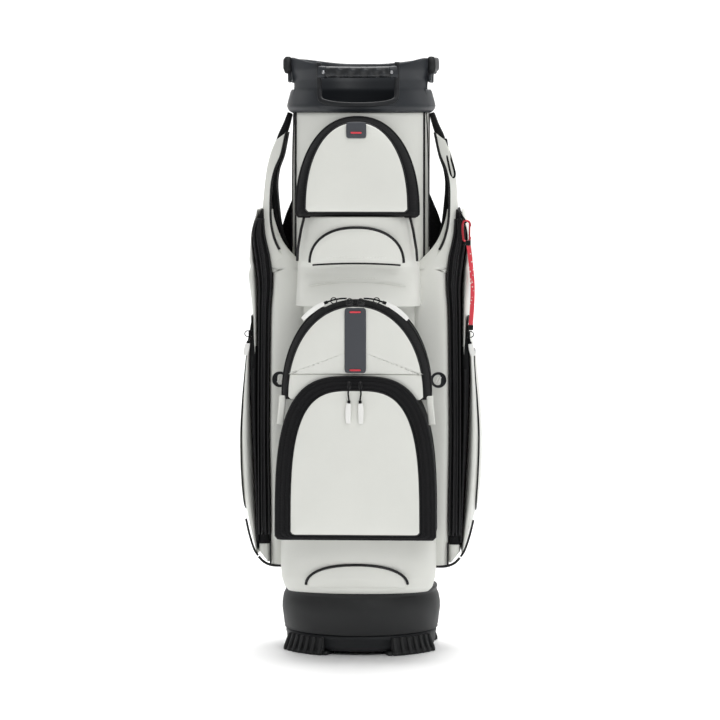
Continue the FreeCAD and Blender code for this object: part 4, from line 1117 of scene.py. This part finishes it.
def side_door(seam_pieces):
    """The padded door: an upper cover, and below it a second pocket with its own black gusset."""
    z = np.linspace(0.455, 0.690, 70)
    tip = 0.159
    puff = 0.0014 * np.sin((z - 0.455) * 62)
    inner = np.maximum(along(MID_SEAM, z) + 0.0008, tip)
    outer = along(TOP_COVER, z) + puff * 0.5
    # The upper cover is drawn in the cover's darker copy: painted shade on the side of the bag.
    top = column("top", z, inner, outer, 0.0600 + puff, -0.0740, 0.010, MATERIALS["cover_shade"])
    seam_pieces.append((top, "side_cover_upper", "flap", "white_cover", ("side_flap",)))
    z = np.linspace(0.157, 0.523, 90)
    inner = np.where(z < 0.467, along(MID_SEAM, z) + 0.0008, np.interp(z, [0.467, 0.523], [0.1590, 0.1692]))
    second = column(
        "second", z, inner, along(OUT_SEAM, z) + 0.0012, 0.0612, -0.0700, 0.003, MATERIALS["gusset"]
    )
    seam_pieces.append((second, "side_second_gusset", "flap", "black_gusset", ()))
    cord = np.stack([(inner + along(OUT_SEAM, z)) / 2, np.full(90, -0.0618), z], 1)[3:70]
    seam_pieces.append(
        (
            swept("cord", cord, 0.0036, 0.0032, MATERIALS["tape"]),
            "side_second_zip",
            "flap",
            "black_gusset",
            (),
        )
    )
    z = np.linspace(0.150, 0.512, 90)
    inner = np.minimum(along(OUT_SEAM, np.maximum(z, 0.158)), along(LOW_COVER, z) - 0.0015)
    # The lower cover uses the same darker copy of the cover: painted shade.
    low = column("low", z, inner, along(LOW_COVER, z), 0.0605, -0.0660, 0.012, MATERIALS["cover_shade"])
    seam_pieces.append((low, "side_cover_lower", "flap", "white_cover", ()))
    edge = smooth_line(
        [
            (0.1585, -0.0630, 0.1478),
            (0.1650, -0.0615, 0.158),
            (0.1725, -0.0570, 0.180),
            (0.1785, -0.0520, 0.204),
        ],
        30,
    )
    seam_pieces.append((cord_along("edge", edge, 0.0036), "side_door_piping", "flap", "black_gusset", ()))
    corners = [
        (-0.046, 0.23),
        (0.046, 0.23),
        (0.050, 0.35),
        (0.044, 0.445),
        (0.0, 0.468),
        (-0.044, 0.445),
        (-0.050, 0.35),
    ]
    outline = smooth_line(corners, 140, closed=True)

    def laid(ring, lift):
        fall = 0.0045 * (ring[:, 0] / 0.06) ** 4
        return np.stack([along(LOW_COVER, ring[:, 1]) + lift - fall, ring[:, 0] + 0.006, ring[:, 1]], 1)

    rings = [laid(outline, -0.0012), laid(outline, 0.0008), laid(grown(outline, -0.003), 0.0016)]
    rim = grown(outline, -0.010)
    centre = outline.mean(0)
    rings += [laid(centre + (rim - centre) * reach, 0.0020) for reach in np.linspace(1, 0.002, 10)]
    # The patch uses the same darker copy of the cover: painted shade.
    patch = shell("patch", rings, MATERIALS["cover_shade"])
    seam_pieces.append((patch, "side_patch", "flap", "white_cover", ()))
    path = laid(outline, 0.0006)
    piping = cord_along("patch_piping", path, 0.0028, up=(1, 0, 0), closed=True)
    seam_pieces.append((piping, "side_patch_piping", "flap", "black_gusset", ()))


def make_sides():
    """Both tall side pockets: the right one is made, and the left one is its mirror image."""
    pieces = []
    side_body(pieces)
    side_door(pieces)
    for piece, name, body, slot, nodes in pieces:
        other = mirrored(piece, f"{name}_left")
        piece.name = f"{name}_right"
        for copy, side in ((piece, "right"), (other, "left")):
            rides = f"side_flap_{side}" if body == "flap" else body
            place(copy, rides, slot, *(f"{node}_{side}" for node in nodes))


def make_side_zips():
    """The slider on the fore edge of each side cover, with its hanging tab."""
    for side, sign in (("right", 1), ("left", -1)):
        low, high = cad(f"side_slider_{side}")
        centre = (low + high)[[0, 2]] / 2
        shape = slider_shape(f"side_zip_{side}_slider", centre, low[1])
        ring = ring_shape("slider_ring", centre + (sign * 0.004, 0), 0.0045, low[1] - 0.001)
        place(
            joined(f"side_zip_{side}_slider", [shape, ring]),
            f"side_slider_{side}",
            "zip_metal",
            f"side_slider_{side}",
        )
        low, high = cad(f"side_pull_{side}")
        x, y = (low[0] + high[0]) / 2, high[1] - 0.0016
        route = [(x + sign * 0.002 * k, y, high[2] - 0.001 - 0.0098 * k) for k in range(5)]
        pull = pull_shape(f"side_tab_{side}", route, 0.5)
        place(pull, f"side_pull_{side}", "pull_tab", f"side_pull_{side}")


WING_OUT = [
    (0.1345, 0.797), (0.1430, 0.775), (0.1490, 0.748), (0.1525, 0.708),
    (0.1530, 0.682), (0.1500, 0.650), (0.1430, 0.620), (0.1375, 0.590),
]
WING_IN = [
    (0.1170, 0.8105), (0.1245, 0.776), (0.1345, 0.752), (0.1400, 0.726),
    (0.1405, 0.690), (0.1375, 0.660), (0.1270, 0.630), (0.1060, 0.604),
]


def make_wings():
    """Padded bands that stand off the tube, their webbing up to the collar and the cloth behind."""
    outer, inner = smooth_line(WING_OUT, 60), smooth_line(WING_IN, 60)
    rings = []
    for k in range(60):
        middle, reach = (outer[k] + inner[k]) / 2, (outer[k] - inner[k]) / 2
        section = rounded_box(1.0, 0.027, 0.006, 48)
        across = section[:, 0]
        flat = middle + reach * across[:, None]
        ahead = 0.002 + 0.030 * float(1 - step(middle[1], 0.64, 0.76))
        rings.append(np.stack([flat[:, 0], section[:, 1] - ahead, flat[:, 1]], 1))
    wing = shell("wing_band_right", rings, MATERIALS["cover"])
    other = mirrored(wing, "wing_band_left")
    for piece, side in ((wing, "right"), (other, "left")):
        place(piece, "bag", "white_cover", f"wing_{side}")
    line = smooth_line(WING_IN, 60)[:52]
    ahead = 0.0290 + 0.030 * (1 - step(line[:, 1], 0.64, 0.76))
    front = np.stack([line[:, 0], -ahead, line[:, 1]], 1)
    depth = 0.002 + 0.010 * (1 - step(line[:, 1], 0.66, 0.80))
    back = np.stack([line[:, 0] - depth / 2, np.full(52, 0.004), line[:, 1]], 1)
    pipes = [
        swept("wing_piping", front, 0.0040, 0.0036, MATERIALS["piping"]),
        swept("wing_lining", back, 0.046, depth, MATERIALS["gusset"], up=(1, 0, 0.2), power=0.4),
    ]
    piping = joined("wing_piping_right", pipes)
    other = mirrored(piping, "wing_piping_left")
    place(piping, "bag", "black_gusset")
    place(other, "bag", "black_gusset")

    for side, sign in (("right", 1), ("left", -1)):
        route = [
            (0.1125, -0.004, 0.8395),
            (0.1180, -0.006, 0.822),
            (0.1250, -0.006, 0.804),
            (0.1290, -0.004, 0.788),
        ]
        route = smooth_line(np.array(route) * (sign, 1, 1), 24)
        deep = np.linspace(0.0080, 0.0150, 24)
        strap = swept(
            f"wing_webbing_{side}", route, 0.036, deep, MATERIALS["webbing"], up=(sign, 0, 0.4), power=0.4
        )
        place(strap, "bag", "black_gusset", f"web_{side}")
        z = np.linspace(0.5905, 0.7185, 26)
        width = np.interp(z, [0.59, 0.64, 0.68, 0.7185], [0.122, 0.1335, 0.1215, 0.105])
        rings = []
        for k in range(26):
            section = rounded_box((float(width[k]) - 0.092) / 2, 0.0016, 0.001, 32)
            x = section[:, 0] + (float(width[k]) + 0.092) / 2
            rings.append(np.stack([sign * x, section[:, 1] + 0.0255, np.full(32, z[k])], 1))
        place(
            shell(f"pass_cloth_{side}", rings, MATERIALS["mesh"]),
            "bag",
            "black_gusset",
            f"pass_gusset_{side}",
        )

    frame_line = np.array([(0.1255, 0.7990), (0.1350, 0.7990), (0.1365, 0.7855), (0.1270, 0.7845)])
    path = resample(np.stack([frame_line[:, 0], np.full(4, -0.024), frame_line[:, 1]], 1), 40, closed=True)
    buckle = [swept("buckle", path, 0.0040, 0.0060, MATERIALS["dark"], closed=True, power=0.6)]
    bar = np.array([(0.1265, -0.024, 0.7920), (0.1360, -0.024, 0.7925)])
    buckle.append(swept("buckle_bar", resample(bar, 6), 0.0030, 0.0050, MATERIALS["dark"], power=0.6))
    place(joined("ladder_buckle", buckle), "bag", "collar_plastic")
    loop = [(0.1365, -0.026, 0.786), (0.1430, -0.028, 0.768), (0.1490, -0.030, 0.745)]
    loop += [(0.1440, -0.030, 0.740), (0.1390, -0.029, 0.760), (0.1345, -0.027, 0.784)]
    loop = smooth_line(loop, 60, closed=True)
    place(
        swept("web_loop", loop, 0.0032, 0.0022, MATERIALS["webbing"], closed=True, power=0.5),
        "bag",
        "black_gusset",
    )


def make_badges():
    """Round moulded badges with a raised rim and two plain slanting bars."""
    low, high = cad("badges")
    pieces = []
    for sign in (-1, 1):
        centre = np.array([sign * (high[0] - 0.0125), (low[2] + high[2]) / 2])
        disc = rounded_box(0.0125, 0.0125, 0.0125, 60) + centre
        pieces.append(panel("badge", disc, low[1] - 0.0008, 0.004, -0.0010, MATERIALS["dark"], edge=0.0014))
        for shift in (-0.0022, 0.0022):
            line = np.array([(shift - 0.0022, -0.0045), (shift + 0.0022, 0.0045)]) + centre
            bar = np.stack([line[:, 0], np.full(2, low[1] - 0.0004), line[:, 1]], 1)
            pieces.append(swept("badge_bar", resample(bar, 6), 0.0014, 0.0012, MATERIALS["pull"]))
    place(joined("badges_moulded", pieces), "bag", "zip_metal", "badges")


# ---- lanyard, spine and shoulder strap


def nurbs_line(points):
    """Points along a smooth NURBS spline of order 3 that has these points as its control points."""
    curve = bpy.data.curves.new("route", "CURVE")
    curve.dimensions = "3D"
    curve.resolution_u = 16
    spline = curve.splines.new("NURBS")
    spline.points.add(len(points) - 1)
    for point, spot in zip(spline.points, points):
        point.co = (*spot, 1)
    spline.order_u = 3
    spline.use_endpoint_u = True
    holder = bpy.data.objects.new("route", curve)
    mesh = bpy.data.meshes.new_from_object(holder)
    line = np.array([vertex.co for vertex in mesh.vertices])
    bpy.data.objects.remove(holder)
    bpy.data.curves.remove(curve)
    bpy.data.meshes.remove(mesh)
    return line


LANYARD_ROUTE = [
    (0.1705, -0.0755, 0.6405),
    (0.1765, -0.0755, 0.5965),
    (0.1785, -0.0755, 0.5525),
    (0.1745, -0.0755, 0.5085),
]


def make_lanyard():
    """Red carabiner on a cord loop, its gate, and the woven strap that hangs below."""
    low, high = cad("carabiner")
    y = (low[1] + high[1]) / 2
    outline = [(1.0, 0.22), (0.86, 0.04), (0.5, 0.0), (0.16, 0.05), (0.06, 0.25), (0.0, 0.6), (0.06, 0.9)]
    outline += [(0.30, 1.0), (0.75, 0.97), (0.95, 0.86), (1.0, 0.72)]
    shape = [(low[0] + u * (high[0] - low[0]), y, low[2] + v * (high[2] - low[2])) for u, v in outline]
    wire = swept("carabiner_wire", smooth_line(shape, 90), 0.0034, 0.0030, MATERIALS["red_metal"])
    loop = [(0.1675, y, high[2] - 0.0025), (0.1620, y, 0.6800), (0.1565, y + 0.004, 0.6860)]
    loop += [(0.1555, y + 0.006, 0.6800), (0.1610, y + 0.003, high[2] - 0.001)]
    loop = smooth_line(loop, 50, closed=True)
    cord = swept("clip_cord", loop, 0.0022, 0.0022, MATERIALS["cord"], closed=True)
    place(joined("carabiner_red", [wire, cord]), "carabiner", "clip_red", "carabiner")
    low, high = cad("carabiner_gate")
    x = (low[0] + high[0]) / 2
    gate = resample(np.array([(x, y, low[2] + 0.001), (x + 0.0004, y, high[2])]), 14)
    bar = swept("carabiner_gate_red", gate, 0.0027, 0.0027, MATERIALS["red_metal"])
    place(bar, "carabiner_gate", "clip_red", "carabiner_gate")
    line = nurbs_line(LANYARD_ROUTE)
    strap = swept("lanyard_strap", line, 0.0068, 0.0018, MATERIALS["red_web"], power=0.3)
    place(strap, "carabiner", "lanyard_web", "lanyard")
    ends = []
    for end, name in ((line[0], "crimp"), (line[-1], "tip")):
        fitting = resample(np.array([end + (0, 0, 0.002), end - (0, 0, 0.006)]), 8)
        ends.append(swept(f"lanyard_{name}", fitting, 0.0084, 0.0038, MATERIALS["metal"], power=0.5))
    ends = joined("lanyard_fittings", ends)
    place(ends, "carabiner", "zip_metal")


def make_back():
    """Spine board in coated cloth with edge piping, and the padded shoulder strap on its clips."""
    low, high = cad("spine_panel")
    z = np.linspace(low[2], high[2], 60)
    ease = np.minimum(1, np.sqrt(np.clip((z - low[2]) / 0.02, 0.02, 1))) * np.minimum(
        1, np.sqrt(np.clip((high[2] - z) / 0.02, 0.02, 1))
    )
    rings = []
    for k in range(60):
        half = 0.054 * (0.85 + 0.15 * ease[k])
        section = rounded_box(half, 0.0058, 0.004, 90)
        bow = 0.0130 * (section[:, 0] / 0.054) ** 2
        rings.append(np.stack([section[:, 0], section[:, 1] + 0.1135 - bow, np.full(90, z[k])], 1))
    # The spine board is drawn in the cover's darker copy: painted shade at the back of the bag.
    board = shell("spine_cover", rings, MATERIALS["cover_shade"])
    place(board, "bag", "white_cover", "spine_panel")
    pipes = []
    for sign in (-1, 1):
        line = np.stack([np.full(60, sign * 0.0525), np.full(60, 0.1065), z], 1)[2:-2]
        pipes.append(cord_along("spine_piping", line, 0.0034))
    place(joined("spine_pipings", pipes), "bag", "black_gusset")
    low, high = cad("shoulder_strap")
    near, far = float(low[1]), float(high[1])
    route = [
        (near + 0.004, high[2] - 0.004), (near + 0.012, high[2] - 0.040), (far - 0.010, high[2] - 0.105)
    ]
    route += [(far - 0.006, (low[2] + high[2]) / 2 + 0.07), (far - 0.006, (low[2] + high[2]) / 2 - 0.05)]
    route += [(far - 0.011, low[2] + 0.100), (near + 0.012, low[2] + 0.038), (near + 0.004, low[2] + 0.004)]
    line = smooth_line(route, 90)
    path = np.stack([np.zeros(90), line[:, 0], line[:, 1]], 1)
    share = np.linspace(0, 1, 90)
    padded = step(share, 0.10, 0.2) * (1 - step(share, 0.80, 0.9))
    wide, thick = 0.030 + 0.026 * padded, 0.0030 + 0.0085 * padded
    thick = thick * (1 + 0.06 * np.sin(share * 70) * padded)
    strap = swept("shoulder_pad", path, wide, thick, MATERIALS["mesh"], up=(0, 1, 0), power=0.55)
    place(strap, "bag", "black_gusset", "shoulder_strap")
    trims = []
    for sign in (-1, 1):
        edge = path[16:76] + np.array([sign * 0.0278, 0, 0])
        trims.append(cord_along("strap_piping", edge, 0.0034))
    place(joined("strap_pipings", trims), "bag", "black_gusset")
    clips = []
    for height in (high[2] - 0.006, low[2] + 0.006):
        angle = np.linspace(0, 2 * math.pi, 40, endpoint=False)
        ring = np.stack(
            [0.017 * np.cos(angle), np.full(40, near + 0.004), height + 0.008 * np.sin(angle)], 1
        )
        clips.append(swept("clip", ring, 0.0036, 0.0036, MATERIALS["metal"], closed=True))
    place(joined("strap_rings", clips), "bag", "zip_metal")


def dress_kept_nodes():
    """Gives the CAD nodes that stay in view their finishes."""
    finishes = {
        "base_pan": "dark", "base_pad": "foam", "base_screws": "steel", "stays": "steel",
        "top_divider": "dark", "cooler_liner": "foil",
    }
    for name, finish in finishes.items():
        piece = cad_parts[name]
        piece.data.materials.clear()
        piece.data.materials.append(MATERIALS[finish])


# ---- stage


def make_stage(stage):
    """Pale floor that curves up behind, soft lights, and a long-lens camera."""
    world = bpy.data.worlds.new("studio")
    bpy.context.scene.world = world
    world.use_nodes = True
    world.node_tree.nodes["Background"].inputs[0].default_value = shade(stage.floor, 1.0)
    world.node_tree.nodes["Background"].inputs[1].default_value = stage.ambience
    rise = np.linspace(0, math.pi / 2, 16)
    y = np.concatenate([np.linspace(-6, 2.9, 10), 3 + 1.5 * np.sin(rise), [4.5]])
    z = np.concatenate([np.zeros(10), 1.5 - 1.5 * np.cos(rise), [7.0]])
    rows = np.stack([np.stack([np.full(len(y), x), y, z], 1) for x in np.linspace(-7, 7, 8)])
    material, tree, principled, where = surface("pale_floor", Roughness=0.6)
    cloud = node(tree, "ShaderNodeTexNoise", {"Vector": where, "Scale": 1.5})
    tinted(tree, principled, cloud.outputs[0], shade(stage.floor, 0.99), shade(stage.floor, 1.01))
    faces = grid_faces(8, len(y), wrap_columns=False)
    mesh_piece("floor", rows.reshape(-1, 3), faces, material)
    for name, spot, size, power in (
        ("key", (1.7, -3.4, 3.1), 2.2, 120), ("fill", (-2.6, -3.0, 1.4), 2.6, 20),
        ("top", (0.2, -0.6, 3.6), 2.0, 60), ("rim", (2.8, 1.0, 2.0), 1.6, 22),
        ("back", (-2.8, 1.0, 2.0), 1.6, 18), ("sweep", (0.0, 1.8, 5.5), 5.0, 760),
    ):
        light = bpy.data.lights.new(name, "AREA")
        light.size, light.energy = size, power * stage.brightness
        lamp = bpy.data.objects.new(name, light)
        bpy.context.collection.objects.link(lamp)
        lamp.location = spot
        lamp.rotation_euler = (Vector((0, 0, 0.5)) - Vector(spot)).to_track_quat("-Z", "Y").to_euler()
    camera = bpy.data.cameras.new("camera")
    camera.lens, camera.sensor_width = stage.lens, SENSOR
    holder = bpy.data.objects.new("camera", camera)
    bpy.context.collection.objects.link(holder)
    turn = stage.azimuth
    holder.location = (stage.distance * math.sin(turn), -stage.distance * math.cos(turn), stage.height)
    level = Vector((-math.sin(turn), math.cos(turn), 0))
    holder.rotation_euler = level.to_track_quat("-Z", "Y").to_euler()
    camera.shift_y = (stage.target - stage.height) / stage.distance * stage.lens / SENSOR
    camera.shift_x = SIDE_SHIFT
    bpy.context.scene.camera = holder
    bpy.context.scene.view_settings.view_transform = "Standard"


# ---- add-on


def colour_property(name, description, code):
    """A colour picker whose default is an sRGB hex code."""
    return bpy.props.FloatVectorProperty(
        name=name, description=description, default=linear(code)[:3], size=3, min=0, max=1, subtype="COLOR"
    )


def length_property(name, description, default):
    """A size in metres."""
    return bpy.props.FloatProperty(
        name=name, description=description, default=default, min=0, unit="LENGTH"
    )


class BagColours(bpy.types.PropertyGroup):
    """Colours of the finishes."""

    cover: colour_property("Cover", "Coated cloth of the tube and the pockets", "dadbd5")
    gusset: colour_property("Gusset", "Black cloth, piping, zips and webbing", "101012")
    plastic: colour_property("Plastic", "Collar and handle mouldings", "292c30")
    rubber: colour_property("Rubber", "Boot and feet", "202122")
    label: colour_property("Label", "Tab and strap of the front pockets", "43454a")
    accent: colour_property("Accent", "Weld bars, carabiner and lanyard", "d63f4b")
    pull: colour_property("Pull", "Zip pull tabs", "eaeae7")


class BagSizes(bpy.types.PropertyGroup):
    """Sizes of the sewing."""

    piping: bpy.props.FloatProperty(
        name="Piping", description="Scales the closed seams' cord", default=1, min=0.3
    )
    padding: bpy.props.FloatProperty(
        name="Padding", description="Scales the panels' swell", default=1, min=0
    )
    pitch: length_property("Stitch", "Distance between stitches", 0.0042)


class BagStage(bpy.types.PropertyGroup):
    """Floor, lights and camera."""

    floor: colour_property("Floor", "Floor and backdrop", "fbfbfb")
    ambience: bpy.props.FloatProperty(
        name="Ambience", description="Light from all round", default=0.26, min=0
    )
    brightness: bpy.props.FloatProperty(
        name="Brightness", description="Scales every lamp", default=0.5, min=0
    )
    lens: bpy.props.FloatProperty(
        name="Lens", description="Focal length", default=177, min=20, unit="CAMERA"
    )
    distance: length_property("Distance", "Camera to the bag's axis", 5.6)
    height: length_property("Height", "Camera above the floor", 0.85)
    target: length_property("Target", "Height at the middle of the picture", 0.450)
    azimuth: bpy.props.FloatProperty(
        name="Azimuth",
        description="Camera turned about the bag",
        default=math.radians(3.0),
        subtype="ANGLE",
    )


class BAG_OT_finishes(bpy.types.Operator):
    """Makes every material from the colours."""

    bl_idname = "bag.finishes"
    bl_label = "Finishes"

    def execute(self, context):
        make_materials(context.scene.bag_colours)
        return {"FINISHED"}


class BAG_OT_boot(bpy.types.Operator):
    """Boot, ring and four feet."""

    bl_idname = "bag.boot"
    bl_label = "Boot"

    def execute(self, context):
        make_boot()
        return {"FINISHED"}


class BAG_OT_collar(bpy.types.Operator):
    """Moulded collar with its window."""

    bl_idname = "bag.collar"
    bl_label = "Collar"

    def execute(self, context):
        make_collar()
        return {"FINISHED"}


class BAG_OT_handles(bpy.types.Operator):
    """Front grab bar and side grips."""

    bl_idname = "bag.handles"
    bl_label = "Handles"

    def execute(self, context):
        make_handles()
        return {"FINISHED"}


class BAG_OT_tube(bpy.types.Operator):
    """Coated tube and the cloth walls inside it."""

    bl_idname = "bag.tube"
    bl_label = "Tube"

    def execute(self, context):
        make_tube()
        make_grid_walls()
        return {"FINISHED"}


class BAG_OT_upper_pocket(bpy.types.Operator):
    """Arched pocket under the collar."""

    bl_idname = "bag.upper_pocket"
    bl_label = "Upper pocket"

    def execute(self, context):
        make_upper_pocket()
        return {"FINISHED"}


class BAG_OT_slip_pocket(bpy.types.Operator):
    """Bib and the half-moon lid of the slip pocket."""

    bl_idname = "bag.slip_pocket"
    bl_label = "Slip pocket"

    def execute(self, context):
        make_slip_pocket()
        return {"FINISHED"}


class BAG_OT_cooler_pocket(bpy.types.Operator):
    """Insulated pocket with its label strap."""

    bl_idname = "bag.cooler_pocket"
    bl_label = "Cooler pocket"

    def execute(self, context):
        make_cooler_pocket()
        return {"FINISHED"}


class BAG_OT_ball_pocket(bpy.types.Operator):
    """Large pocket with ribbed gusset."""

    bl_idname = "bag.ball_pocket"
    bl_label = "Ball pocket"

    def execute(self, context):
        make_ball_pocket()
        return {"FINISHED"}


class BAG_OT_lower_panel(bpy.types.Operator):
    """Apron over the boot."""

    bl_idname = "bag.lower_panel"
    bl_label = "Lower panel"

    def execute(self, context):
        make_lower_panel()
        return {"FINISHED"}


class BAG_OT_zips(bpy.types.Operator):
    """Sliders and pulls of the front and side zips."""

    bl_idname = "bag.zips"
    bl_label = "Zips"

    def execute(self, context):
        make_front_zips()
        make_side_zips()
        return {"FINISHED"}


class BAG_OT_side_pockets(bpy.types.Operator):
    """The two tall side pockets."""

    bl_idname = "bag.side_pockets"
    bl_label = "Side pockets"

    def execute(self, context):
        make_sides()
        return {"FINISHED"}


class BAG_OT_wings(bpy.types.Operator):
    """Padded side bands and their webbing."""

    bl_idname = "bag.wings"
    bl_label = "Wings"

    def execute(self, context):
        make_wings()
        return {"FINISHED"}


class BAG_OT_badges(bpy.types.Operator):
    """Round badges on the side pockets."""

    bl_idname = "bag.badges"
    bl_label = "Badges"

    def execute(self, context):
        make_badges()
        return {"FINISHED"}


class BAG_OT_lanyard(bpy.types.Operator):
    """Carabiner and hanging strap."""

    bl_idname = "bag.lanyard"
    bl_label = "Lanyard"

    def execute(self, context):
        make_lanyard()
        return {"FINISHED"}


class BAG_OT_back(bpy.types.Operator):
    """Spine board and shoulder strap."""

    bl_idname = "bag.back"
    bl_label = "Back"

    def execute(self, context):
        make_back()
        return {"FINISHED"}


class BAG_OT_kept_parts(bpy.types.Operator):
    """Finishes for the CAD nodes that stay in view."""

    bl_idname = "bag.kept_parts"
    bl_label = "Kept parts"

    def execute(self, context):
        dress_kept_nodes()
        return {"FINISHED"}


class BAG_OT_stage(bpy.types.Operator):
    """Floor, lights and camera."""

    bl_idname = "bag.stage"
    bl_label = "Stage"

    def execute(self, context):
        make_stage(context.scene.bag_stage)
        return {"FINISHED"}


GROUPS = {"bag_colours": BagColours, "bag_sizes": BagSizes, "bag_stage": BagStage}
OPERATORS = (
    BAG_OT_finishes,
    BAG_OT_boot,
    BAG_OT_collar,
    BAG_OT_handles,
    BAG_OT_tube,
    BAG_OT_upper_pocket,
    BAG_OT_slip_pocket,
    BAG_OT_cooler_pocket,
    BAG_OT_ball_pocket,
    BAG_OT_lower_panel,
    BAG_OT_zips,
    BAG_OT_side_pockets,
    BAG_OT_wings,
    BAG_OT_badges,
    BAG_OT_lanyard,
    BAG_OT_back,
    BAG_OT_kept_parts,
    BAG_OT_stage,
)


class BAG_PT_panel(bpy.types.Panel):
    """Sizes, colours and one button for each group of pieces."""

    bl_idname = "BAG_PT_panel"
    bl_label = "Golf bag"
    bl_space_type = "VIEW_3D"
    bl_region_type = "UI"
    bl_category = "Golf bag"

    def draw(self, context):
        for name, group in GROUPS.items():
            box = self.layout.box()
            box.label(text=group.__doc__)
            for key in group.__annotations__:
                box.prop(getattr(context.scene, name), key)
        for kind in OPERATORS:
            self.layout.operator(kind.bl_idname)


def register():
    for kind in (*GROUPS.values(), *OPERATORS, BAG_PT_panel):
        bpy.utils.register_class(kind)
    for name, group in GROUPS.items():
        setattr(bpy.types.Scene, name, bpy.props.PointerProperty(type=group))


def unregister():
    for name in GROUPS:
        delattr(bpy.types.Scene, name)
    for kind in reversed((*GROUPS.values(), *OPERATORS, BAG_PT_panel)):
        bpy.utils.unregister_class(kind)


def main():
    """Makes every piece."""
    register()
    for kind in OPERATORS:
        getattr(bpy.ops.bag, kind.bl_idname.split(".")[1])()


if __name__ == "__main__":
    main()
